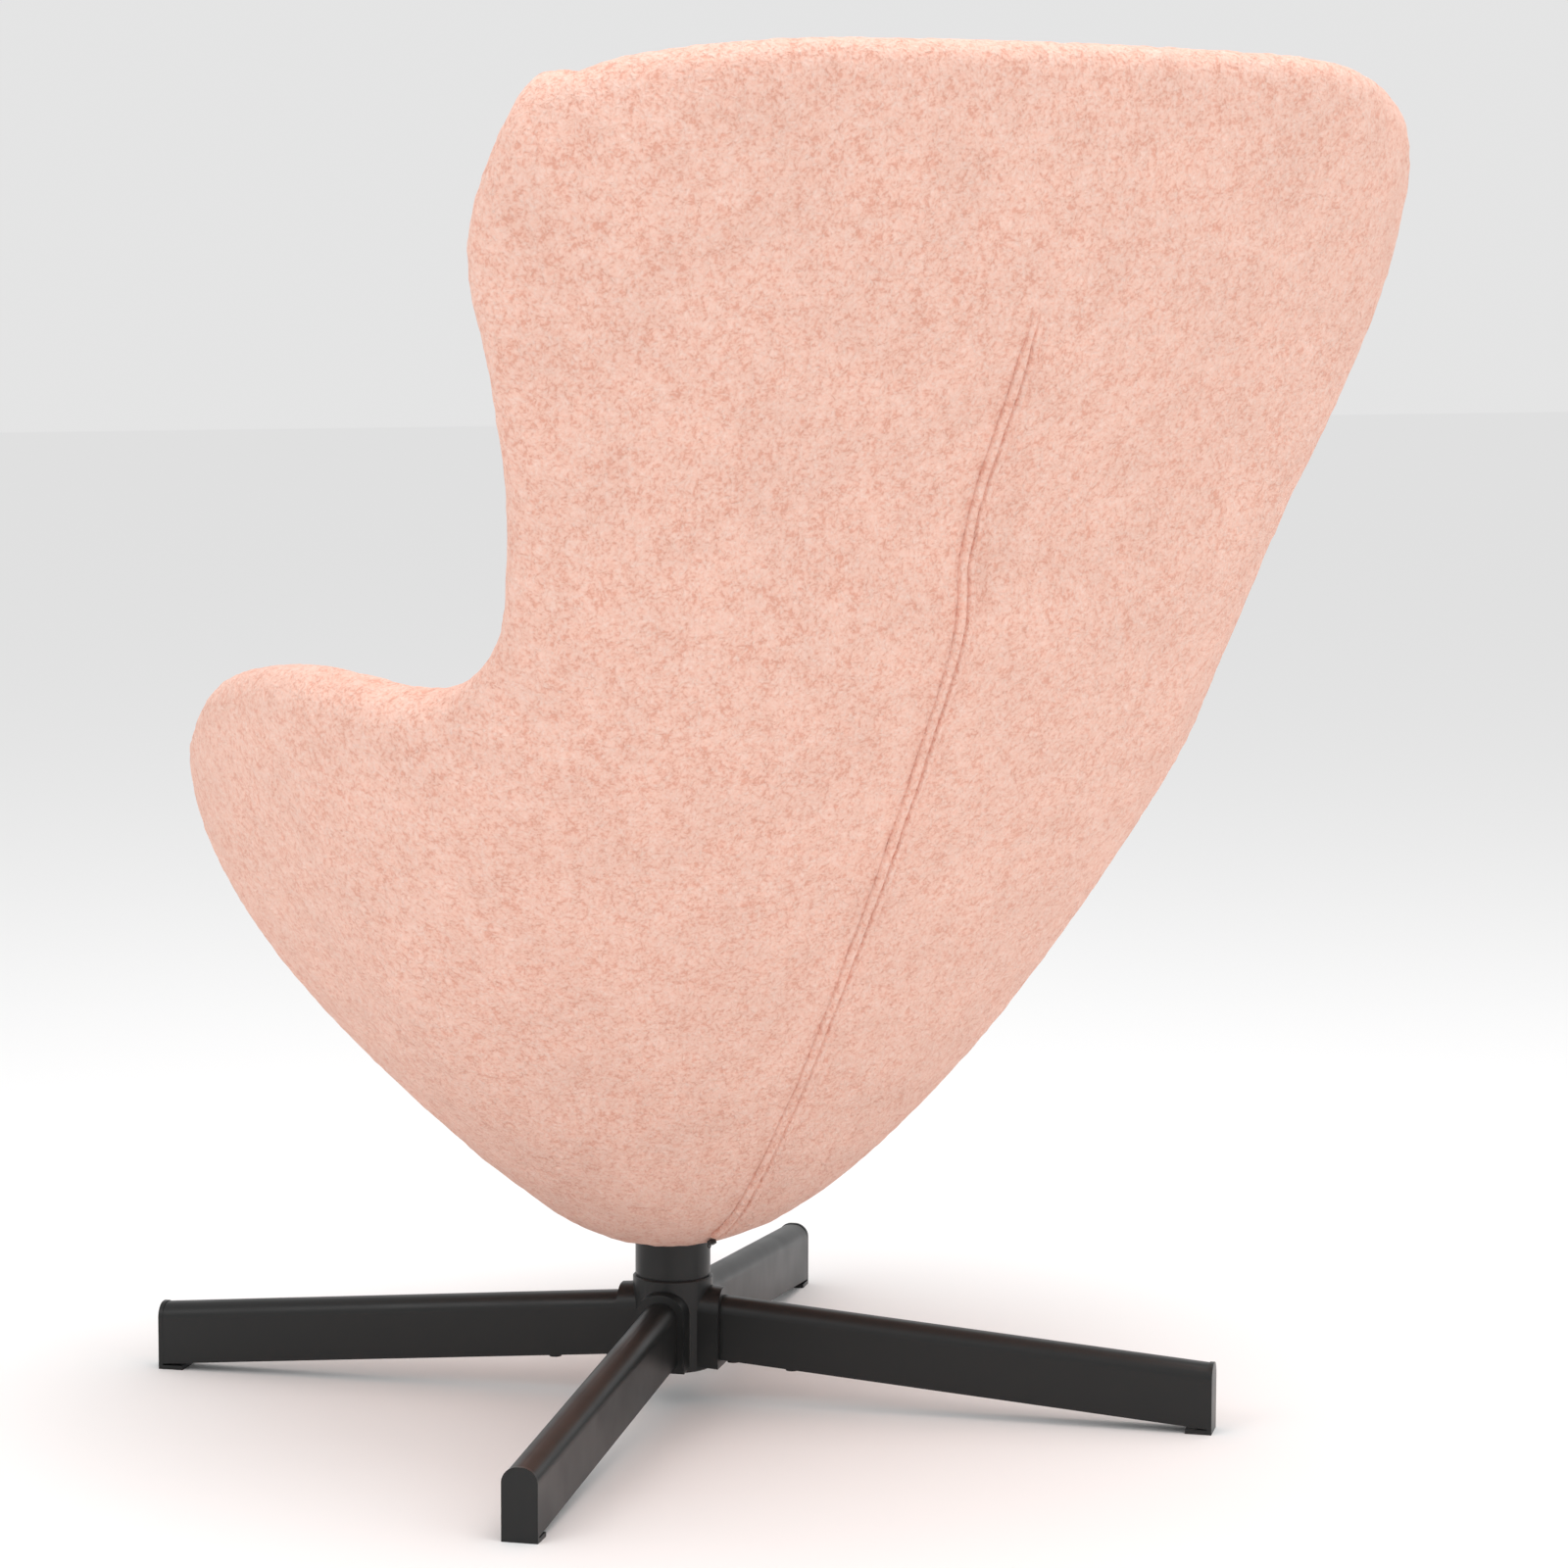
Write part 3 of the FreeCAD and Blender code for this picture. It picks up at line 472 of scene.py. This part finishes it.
@dataclass(frozen=True)
class Rib:
    """One rib plane of the pod: it holds the X direction and leads from the spine to the rim."""

    spine_y: float
    spine_z: float
    half_width: float
    rim_y: float
    rim_z: float
    lip: float
    balance: float

    @property
    def inward(self) -> Vector:
        """Unit direction from the spine to the rim."""
        return Vector((0.0, self.rim_y - self.spine_y, self.rim_z - self.spine_z)).normalized()

    @property
    def depth(self) -> float:
        """Distance from the spine to the rim."""
        return math.hypot(self.rim_y - self.spine_y, self.rim_z - self.spine_z)

    def place(self, across: float, up: float) -> Vector:
        """Point of the rib plane in the chair's frame.

        Args:
            across: distance from the middle, positive to the chair's left.
            up: distance inwards from the spine.

        Returns:
            The point.
        """
        return Vector((across, self.spine_y, self.spine_z)) + self.inward * up

    def half_arcs(self, offset: float) -> list[tuple[Vector, Vector, float, float]]:
        """Two tangent arcs from the spine to the rim.

        Args:
            offset: depth in the wall, inwards from the outside.

        Returns:
            Start, unit tangent, radius and angle of each arc.
        """
        turn = math.radians(self.lip)
        first, last = Vector((1.0, 0.0)), Vector((math.cos(turn), math.sin(turn)))
        start = Vector((0.0, offset))
        end = Vector((self.half_width, self.depth)) + Vector((-last.y, last.x)) * offset
        chord = end - start
        share = self.balance
        bend = 2 * share * (1 - share) * (1 - first.dot(last))
        pull = 2 * (share * chord.dot(first) + (1 - share) * chord.dot(last))
        reach = (math.sqrt(pull ** 2 + 4 * bend * chord.dot(chord)) - pull) / (2 * bend)
        near, far = start + first * (share * reach), end - last * ((1 - share) * reach)
        middle = (far - near).normalized()
        joint = near * (1 - share) + far * share
        opening = math.acos(max(-1.0, min(1.0, first.dot(middle))))
        closing = turn - opening
        return [(start, first, share * reach / math.tan(opening / 2), opening),
                (joint, middle, (1 - share) * reach / math.tan(closing / 2), closing)]

    def half_point(self, offset: float, share: float) -> Vector:
        """Point of the half rib at a share of its length from the spine.

        Args:
            offset: depth in the wall.
            share: 0 at the spine, 1 at the rim.

        Returns:
            The point in the rib plane.
        """
        arcs = self.half_arcs(offset)
        lengths = [radius * angle for _, _, radius, angle in arcs]
        way = share * sum(lengths)
        index = 0 if way <= lengths[0] else 1
        start, tangent, radius, _ = arcs[index]
        angle = (way - index * lengths[0]) / radius
        normal = Vector((-tangent.y, tangent.x))
        along, aside = radius * math.sin(angle), radius * (1 - math.cos(angle))
        return start + tangent * along + normal * aside

    def roll_point(self, wall: float, inset: float, angle: float) -> Vector:
        """Point of the round roll that closes the wall at the rim.

        Args:
            wall: thickness of the wall.
            inset: how far the roll is drawn in on both sides.
            angle: 0 at the outside, 180 degrees in radians at the inside.

        Returns:
            The point in the rib plane.
        """
        turn = math.radians(self.lip)
        along = Vector((math.cos(turn), math.sin(turn)))
        normal = Vector((-along.y, along.x))
        radius = wall / 2 - inset
        centre = Vector((self.half_width, self.depth)) + normal * (wall / 2)
        return centre + along * (radius * math.sin(angle)) - normal * (radius * math.cos(angle))


@dataclass
class PodLines:
    """Ribs of the pod from the front edge of the seat to the crown, and its wall.

    Each row holds the spine's y and z, the half width, the rim's y and z, all in millimetres, the
    angle in degrees that the rib has turned at the rim, and how much of the bend lies at the spine.
    """

    wall: float = 56 * MM
    front_edge: tuple[float, ...] = (-269, 371, 311, -223, 489, 72, 0.60)
    front_bowl: tuple[float, ...] = (-165, 240, 367, -104, 536, 79, 0.31)
    base: tuple[float, ...] = (0, 127, 388, 2, 566, 74, 0.18)
    rear_keel: tuple[float, ...] = (88, 157, 388, 89, 576, 76, 0.19)
    rear_bowl: tuple[float, ...] = (179, 261, 374, 150, 571, 73, 0.32)
    seat_back: tuple[float, ...] = (252, 370, 356, 199, 563, 66, 0.49)
    loin: tuple[float, ...] = (318, 478, 334, 244, 568, 58, 0.63)
    waist_low: tuple[float, ...] = (368, 568, 316, 289, 597, 50, 0.71)
    waist: tuple[float, ...] = (404, 640, 309, 330, 646, 46, 0.75)
    waist_top: tuple[float, ...] = (409, 690, 321, 358, 713, 45, 0.75)
    mid_back: tuple[float, ...] = (430, 745, 351, 383, 798, 46, 0.76)
    shoulder: tuple[float, ...] = (475, 824, 379, 405, 891, 47, 0.76)
    head: tuple[float, ...] = (511, 905, 368, 442, 972, 48, 0.70)
    crown: tuple[float, ...] = (544, 1023, 332, 464, 1019, 49, 0.57)

    def __post_init__(self) -> None:
        """Read the rows in order and find the fair curves through them."""
        names = ("front_edge", "front_bowl", "base", "rear_keel", "rear_bowl", "seat_back",
                 "loin", "waist_low", "waist", "waist_top", "mid_back", "shoulder", "head",
                 "crown")
        given = [getattr(self, name) for name in names]
        self.rows = [[value * MM for value in row[:5]] + list(row[5:]) for row in given]
        pairs = list(zip(self.rows, self.rows[1:]))
        self.gaps = [(math.dist(a[:2], b[:2]) + math.dist(a[2:5], b[2:5])) / 2 for a, b in pairs]
        rates = [[(y - x) / gap for x, y in zip(a, b)] for (a, b), gap in zip(pairs, self.gaps)]
        slopes = [self.mix(low, high, gap / (gap + ahead))
                  for low, high, gap, ahead in zip(rates, rates[1:], self.gaps, self.gaps[1:])]
        # A share of 2 gives each end the slope with which its outer stretch bends evenly.
        self.slopes = [self.mix(slopes[0], rates[0], 2), *slopes,
                       self.mix(slopes[-1], rates[-1], 2)]

    @staticmethod
    def mix(first: Sequence[float], second: Sequence[float], share: float) -> list[float]:
        """Row of numbers part of the way from one row to another."""
        return [a + (b - a) * share for a, b in zip(first, second)]

    @property
    def length(self) -> float:
        """Fair length from the first rib to the last."""
        return sum(self.gaps)

    def rib(self, way: float) -> Rib:
        """Rib at a distance along the pod.

        Args:
            way: fair distance from the front edge.

        Returns:
            The rib there.
        """
        index = 0
        while index < len(self.gaps) - 1 and way > self.gaps[index]:
            way -= self.gaps[index]
            index += 1
        gap = self.gaps[index]
        share = min(1.0, way / gap)
        low, high = self.rows[index], self.rows[index + 1]
        bend = gap * share * (1 - share)
        eased = self.mix(low, high, share * share * (3 - 2 * share))
        return Rib(*(x + bend * ((1 - share) * v - share * w)
                     for x, v, w in zip(eased, self.slopes[index], self.slopes[index + 1])))


# Sub-assemblies

@dataclass
class PodBody:
    """Padded body of the pod in teddy fabric: one closed skin over cover, rolls and lining."""

    lines: PodLines
    face: float = 11 * MM
    outer_columns: int = 96
    roll_columns: int = 10
    inner_columns: int = 76
    end_rows: int = 6
    lead_share: float = 1 / 3
    heap: float = 11 * MM
    heap_height: float = 0.9 * MM

    def flat_point(self, rib: Rib, column: int, inset: float) -> Vector:
        """Point of the wall's section, in its own plane, round from the chair's left rim.

        Args:
            rib: rib of the section.
            column: number of the point.
            inset: how far both faces of the wall are drawn in.

        Returns:
            The point as its distance across, positive to the chair's left, and inwards.
        """
        wall = self.lines.wall
        if column <= self.outer_columns:
            across = 1 - 2 * column / self.outer_columns
            flat = rib.half_point(inset, abs(across))
            side = math.copysign(1.0, across)
        elif column <= self.outer_columns + self.roll_columns:
            turn = math.pi * (column - self.outer_columns) / self.roll_columns
            flat, side = rib.roll_point(wall, inset, turn), -1.0
        elif column <= self.outer_columns + self.roll_columns + self.inner_columns:
            across = -1 + 2 * (column - self.outer_columns - self.roll_columns) / self.inner_columns
            flat = rib.half_point(wall - inset, abs(across))
            side = math.copysign(1.0, across)
        else:
            last = column - self.outer_columns - self.roll_columns - self.inner_columns
            turn = math.pi * (1 - last / self.roll_columns)
            flat, side = rib.roll_point(wall, inset, turn), 1.0
        return Vector((side * flat.x, flat.y))

    def beyond(self, rib: Rib, before: Rib, flat: Vector, shift: float) -> Vector:
        """Place of a point in the rolled edge that leads on beyond an end of the pod.

        Args:
            rib: the pod's first or last rib.
            before: its neighbour, which gives the way that the pod runs.
            flat: the point in the rib's plane.
            shift: how far the edge has gone beyond the rib.

        Returns:
            The point in the chair's frame.
        """
        spine_lead = (rib.place(0.0, 0.0) - before.place(0.0, 0.0)).normalized()
        rim_lead = (rib.place(rib.half_width, rib.depth)
                    - before.place(before.half_width, before.depth)).normalized()
        across = flat.x * (1 + rim_lead.x * shift / rib.half_width)
        share = flat.y / rib.depth
        lead = spine_lead * (1 - share) + Vector((0.0, rim_lead.y, rim_lead.z)) * share
        return rib.place(across, flat.y) + lead * shift

    def skin(self) -> bmesh.types.BMesh:
        """Mesh of the whole skin, closed by a round roll at the front edge and at the crown."""
        lines = self.lines
        columns = self.outer_columns + self.inner_columns + 2 * self.roll_columns
        body_rows = round(lines.length / self.face)
        rows = body_rows + 2 * self.end_rows
        half = lines.wall / 2
        on_body = [min(max(row - self.end_rows, 0), body_rows) for row in range(rows + 1)]
        ribs = [lines.rib(lines.length * row / body_rows) for row in on_body]
        before_front = lines.rib(lines.gaps[0] * self.lead_share)
        before_crown = lines.rib(lines.length - lines.gaps[-1] * self.lead_share)

        def shape(column: int, row: int) -> Vector:
            """Place of one vertex of the skin."""
            over = max(self.end_rows - row, row - self.end_rows - body_rows, 0)
            turn = math.pi / 2 * over / self.end_rows
            flat = self.flat_point(ribs[row], column, half * (1 - math.cos(turn)))
            if not over:
                return ribs[row].place(*flat)
            before = before_front if row < self.end_rows else before_crown
            return self.beyond(ribs[row], before, flat, half * math.sin(turn))

        return moulded_sheet(columns, rows, shape)

    def build(self, fabric: bpy.types.Material) -> bpy.types.Object:
        """Args:
            fabric: the teddy fabric.

        Returns:
            The finished piece.
        """
        piece = make_object("pod_skin", self.skin(), fabric)
        live_modifier(piece, "SUBSURF", levels=1, render_levels=1)
        bake_modifiers(piece)
        ruffle(piece, self.heap, self.heap_height)
        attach(piece, "pod")
        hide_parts("outer_cover", "front_edge_roll", "crown_edge_roll", "inner_padding")
        return piece


@dataclass
class RearSeam:
    """Closing seam down the back: two rolled lips with the stitched groove between."""

    lines: PodLines
    start_y: float = 60 * MM
    end_z: float = 884 * MM
    lip: float = 7.4 * MM
    narrow: float = 0.55
    height: float = 4.2 * MM
    root: float = 1.6 * MM
    bulge: float = 0.3 * MM
    groove_width: float = 0.16
    groove_depth: float = 0.78
    flat_width: float = 0.42
    step: float = 2.2 * MM
    columns: int = 36
    foot_rows: int = 5
    tip_rows: int = 26
    pucker: float = 14 * MM
    pucker_share: float = 0.14
    sway: float = 0.7 * MM
    heap: float = 5 * MM
    heap_height: float = 0.25 * MM

    def path(self) -> list[Rib]:
        """Ribs of the pod at which the seam is drawn, from its lower end up."""
        count = round(self.lines.length / self.step)
        ribs = [self.lines.rib(self.lines.length * index / count) for index in range(count + 1)]
        return [rib for rib in ribs if rib.spine_y > self.start_y and rib.spine_z < self.end_z]

    def relief(self, across: float) -> float:
        """Height of the seam over the cover at a share of its half width.

        Args:
            across: share of the half width, from -1 to 1.

        Returns:
            The height as a share of the lips' full height.
        """
        groove = math.exp(-((across / self.groove_width) ** 2))
        slope = max(0.0, abs(across) - self.flat_width) / (1 - self.flat_width)
        return math.sqrt(max(0.0, 1 - slope ** 2)) - self.groove_depth * groove

    def build(self, fabric: bpy.types.Material) -> bpy.types.Object:
        """Make the seam.

        Args:
            fabric: the teddy fabric.

        Returns:
            The finished piece.
        """
        path = self.path()
        top_columns = self.columns * 3 // 4

        def shape(column: int, row: int) -> Vector:
            """Place of one vertex of the seam."""
            way = row * self.step
            fade = min(1.0, row / self.foot_rows, (len(path) - 1 - row) / self.tip_rows)
            swell = 1 + self.pucker_share * noise.noise(Vector((0.0, 0.0, way / self.pucker)))
            sway = self.sway * noise.noise(Vector((5.0, 0.0, way / (self.pucker * 2))))
            if column <= top_columns:
                across = 1 - 2 * column / top_columns
                lift = self.height * swell * self.relief(across) * fade - self.root * (1 - fade)
            else:
                across = -1 + 2 * (column - top_columns) / (self.columns - top_columns)
                lift = -self.root * (2 - abs(across)) / 2 - self.bulge
            if abs(across) == 1:
                lift = -self.root
            width = self.lip * (self.narrow + (1 - self.narrow) * fade)
            return path[row].place(across * width + sway, -lift)

        mesh = moulded_sheet(self.columns, len(path) - 1, shape)
        open_edges = [edge for edge in mesh.edges if edge.is_boundary]
        bmesh.ops.holes_fill(mesh, edges=open_edges, sides=0)
        piece = make_object("closing_seam", mesh, fabric)
        ruffle(piece, self.heap, self.heap_height)
        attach(piece, "pod")
        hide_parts("rear_seam")
        return piece


@dataclass
class SeatCushion:
    """Loose seat cushion: crowned, with its sides drawn in and a welt sewn round its middle."""

    low: Vector = field(default_factory=lambda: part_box("seat_cushion")[0])
    high: Vector = field(default_factory=lambda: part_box("seat_cushion")[1])
    shrink: float = 8 * MM
    squareness: float = 2.7
    segments: int = 96
    rings: int = 40
    top_power: float = 0.62
    bottom_power: float = 0.42
    bottom_rise: float = 0.8
    taper: float = 0.30
    taper_power: float = 1.1
    voxel: float = 6 * MM
    pressure: float = 4.0
    quality: int = 4
    swell: float = 7 * MM
    frames: int = 20
    welt: float = 4.2 * MM
    welt_rise: float = 4 * MM
    welt_band: float = 6 * MM
    welt_cone: float = 0.9993
    welt_proud: float = 0.1
    welt_columns: int = 220
    welt_sides: int = 12
    welt_blend: int = 3
    heap: float = 11 * MM
    heap_height: float = 0.8 * MM

    @property
    def centre(self) -> Vector:
        """Middle of the cushion."""
        return (self.low + self.high) / 2

    def plan(self, angle: float) -> Vector:
        """Point of the cushion's rounded plan at an angle, relative to its middle.

        Args:
            angle: direction in radians.

        Returns:
            The point, with no height.
        """
        half = (self.high - self.low) / 2
        power = 2 / self.squareness
        c, s = math.cos(angle), math.sin(angle)
        x = math.copysign(abs(c) ** power, c) * (half.x - self.shrink)
        y = math.copysign(abs(s) ** power, s) * (half.y - self.shrink)
        return Vector((x, y, 0.0))

    def form(self) -> bmesh.types.BMesh:
        """Closed form of the cushion before it is filled."""
        mesh = bmesh.new()
        bmesh.ops.create_uvsphere(mesh, u_segments=self.segments, v_segments=self.rings,
                                  radius=1.0)
        half = (self.high.z - self.low.z) / 2 - self.shrink / 2
        for vertex in mesh.verts:
            latitude = math.asin(max(-1.0, min(1.0, vertex.co.z)))
            upper = latitude > 0
            reach = math.cos(latitude) ** (self.top_power if upper else self.bottom_power)
            if latitude < 0:
                reach *= 1 - self.taper * math.sin(-latitude) ** self.taper_power
            plan = self.plan(math.atan2(vertex.co.y, vertex.co.x)) * reach
            height = abs(math.sin(latitude)) ** (1.0 if upper else self.bottom_rise)
            rise = math.copysign(height, latitude)
            vertex.co = self.centre + plan + Vector((0.0, 0.0, rise * half))
        return mesh

    def fill(self, piece: bpy.types.Object) -> None:
        """Blow the cover up with a cloth simulation, capped so that it stays in its place.

        Args:
            piece: the cushion's cover, changed in place.
        """
        live_modifier(piece, "REMESH", mode="VOXEL", voxel_size=self.voxel, use_smooth_shade=True)
        bake_modifiers(piece)
        before = [vertex.co.copy() for vertex in piece.data.vertices]
        cloth = live_modifier(piece, "CLOTH")
        cloth.settings.use_pressure = True
        cloth.settings.uniform_pressure_force = self.pressure
        cloth.settings.effector_weights.gravity = 0.0
        cloth.settings.quality = self.quality
        cloth.point_cache.frame_start = 1
        cloth.point_cache.frame_end = self.frames
        for number in range(1, self.frames + 1):
            bpy.context.scene.frame_set(number)
        bake_modifiers(piece)
        bpy.context.scene.frame_set(1)
        for vertex, start in zip(piece.data.vertices, before):
            move = vertex.co - start
            if move.length > self.swell:
                vertex.co = start + move.normalized() * self.swell

    def widest_line(self, piece: bpy.types.Object, level: float) -> list[float]:
        """Reach of the filled cushion all round its widest line.

        Args:
            piece: the filled cushion.
            level: height of that line.

        Returns:
            The smoothed reach in each direction, anticlockwise from the chair's left.
        """
        band = [vertex.co - self.centre for vertex in piece.data.vertices
                if abs(vertex.co.z - level) < self.welt_band]
        reach = []
        for index in range(self.welt_columns):
            angle = math.tau * index / self.welt_columns
            way = Vector((math.cos(angle), math.sin(angle)))
            near = [spot.xy.length for spot in band
                    if spot.xy.normalized().dot(way) > self.welt_cone]
            reach.append(max(near) if near else self.plan(angle).length)
        nearby = range(-self.welt_blend, self.welt_blend + 1)
        return [sum(reach[(index + k) % self.welt_columns] for k in nearby) / len(nearby)
                for index in range(self.welt_columns)]

    def sew_welt(self, piece: bpy.types.Object, fabric: bpy.types.Material) -> bpy.types.Object:
        """Make the corded welt along the cushion's widest line.

        Args:
            piece: the filled cushion.
            fabric: the teddy fabric.

        Returns:
            The welt.
        """
        level = self.centre.z + self.welt_rise
        line = self.widest_line(piece, level)

        def shape(column: int, row: int) -> Vector:
            """Place of one vertex of the welt."""
            angle = math.tau * (column % self.welt_columns) / self.welt_columns
            turn = math.tau * (row % self.welt_sides) / self.welt_sides
            reach = (line[column % self.welt_columns]
                     + self.welt * (self.welt_proud + math.cos(turn)))
            return Vector((self.centre.x + math.cos(angle) * reach,
                           self.centre.y + math.sin(angle) * reach,
                           level + self.welt * math.sin(turn)))

        sheet = moulded_sheet(self.welt_columns, self.welt_sides, shape)
        welt = make_object("cushion_welt", sheet, fabric)
        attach(welt, "pod")
        return welt

    def build(self, fabric: bpy.types.Material) -> bpy.types.Object:
        """Args:
            fabric: the teddy fabric.

        Returns:
            The cushion.
        """
        piece = make_object("loose_cushion", self.form(), fabric)
        self.fill(piece)
        live_modifier(piece, "SUBSURF", levels=1, render_levels=1)
        bake_modifiers(piece)
        self.sew_welt(piece, fabric)
        ruffle(piece, self.heap, self.heap_height)
        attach(piece, "pod")
        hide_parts("seat_cushion")
        return piece


@dataclass
class SeatDeck:
    """Foam deck under the cushion, covered in the same fabric."""

    weld: float = 0.05 * MM

    def build(self, fabric: bpy.types.Material) -> bpy.types.Object:
        """Make the deck from the solid that the frame holds.

        Args:
            fabric: the teddy fabric.

        Returns:
            The deck.
        """
        mesh = bmesh.new()
        mesh.from_mesh(frame["nodes"]["seat_foam"].data)
        bmesh.ops.remove_doubles(mesh, verts=mesh.verts, dist=self.weld)
        piece = make_object("seat_deck", mesh, fabric)
        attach(piece, "pod")
        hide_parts("seat_foam")
        return piece


@dataclass
class Structure:
    """Rigid parts that keep their CAD shape: base, swivel, plate, fasteners and shell."""

    def dress(self, finishes: dict[str, bpy.types.Material]) -> None:
        """Give each CAD node the finish of its slot.

        Args:
            finishes: slot name to material.
        """
        for entry in frame["record"]["subparts"]:
            node = frame["nodes"][entry["node"]]
            node.data.materials.clear()
            node.data.materials.append(finishes[entry["material_slot"]])
            log.info("dressed %s in %s", entry["node"], entry["material_slot"])


@dataclass(frozen=True)
class Softbox:
    """Square area light that looks at the middle of the pod."""

    name: str
    place: tuple[float, float, float]
    edge: float
    power: float
    aim: tuple[float, float, float] = (0.0, 0.1, 0.5)

    def build(self) -> None:
        """Hang the light."""
        data = bpy.data.lights.new(self.name, "AREA")
        data.size = self.edge
        data.energy = self.power
        lamp = bpy.data.objects.new(self.name, data)
        lamp.location = self.place
        way = Vector(self.aim) - Vector(self.place)
        lamp.rotation_euler = way.to_track_quat("-Z", "Y").to_euler()
        bpy.context.scene.collection.objects.link(lamp)


@dataclass
class Studio:
    """Pale floor, soft lights and the camera at the photograph's viewing angle."""

    image: int = 1600
    sensor: float = 36.0
    focal_pixels: float = 4434.23
    axis_pixel: float = 686.64
    distance: float = 3.41912
    eye_height: float = 0.85585
    bearing: float = 59.45
    pitch: float = 6.022
    farthest: float = 200.0
    floor_size: float = 60.0
    floor_colour: str = "FAFAFA"
    floor_roughness: float = 0.9
    sky_strength: float = 0.78
    lights: tuple[Softbox, ...] = (
        Softbox("overhead_softbox", (-0.2, 0.7, 3.4), 2.2, 50.0),
        Softbox("key_softbox", (3.0, 0.9, 2.6), 1.8, 20.0),
        Softbox("fill_softbox", (-1.4, 3.4, 1.2), 2.2, 12.0))

    def camera(self) -> None:
        """Place the camera."""
        data = bpy.data.cameras.new("photo_camera")
        data.sensor_width = self.sensor
        data.lens = self.focal_pixels / self.image * self.sensor
        data.shift_x = (self.image / 2 - self.axis_pixel) / self.image
        data.clip_end = self.farthest
        camera = bpy.data.objects.new("photo_camera", data)
        turn = math.radians(self.bearing)
        camera.location = (self.distance * math.cos(turn), self.distance * math.sin(turn),
                           self.eye_height)
        camera.rotation_euler = Euler((math.radians(90 - self.pitch), 0.0, turn + math.pi / 2))
        bpy.context.scene.collection.objects.link(camera)
        bpy.context.scene.camera = camera

    def floor(self) -> None:
        """Lay the floor."""
        mesh = bmesh.new()
        bmesh.ops.create_grid(mesh, x_segments=1, y_segments=1, size=self.floor_size / 2)
        material, tree = new_material("studio_floor")
        shader = add_node(tree, "ShaderNodeBsdfPrincipled", {
            "Base Color": rgb(self.floor_colour), "Roughness": self.floor_roughness,
            "Specular IOR Level": 0.0})
        add_node(tree, "ShaderNodeOutputMaterial", {"Surface": shader.outputs["BSDF"]})
        floor = make_object("studio_floor", mesh, material)

    def sky(self) -> None:
        """Make the even white sky."""
        world = bpy.data.worlds.new("studio_sky")
        world.use_nodes = True
        background = world.node_tree.nodes["Background"]
        background.inputs["Color"].default_value = (1.0, 1.0, 1.0, 1.0)
        background.inputs["Strength"].default_value = self.sky_strength
        bpy.context.scene.world = world

    def build(self) -> None:
        """Make the floor, the camera, the lights and the sky."""
        self.floor()
        self.camera()
        for light in self.lights:
            light.build()
        self.sky()
        bpy.context.scene.view_settings.view_transform = "Standard"


def main() -> None:
    """Build the chair piece by piece."""
    logging.basicConfig(level=logging.INFO, format="%(name)s: %(message)s")
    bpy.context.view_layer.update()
    Studio().build()
    finishes = {finish.name: finish.value.build(finish.name) for finish in Finish}
    Structure().dress(finishes)
    lines = PodLines()
    fabric = finishes[Finish.fabric.name]
    for maker in (PodBody(lines), RearSeam(lines), SeatCushion(), SeatDeck()):
        piece = maker.build(fabric)
        log.info("made %s with %d faces", piece.name, len(piece.data.polygons))


if __name__ == "__main__":
    main()
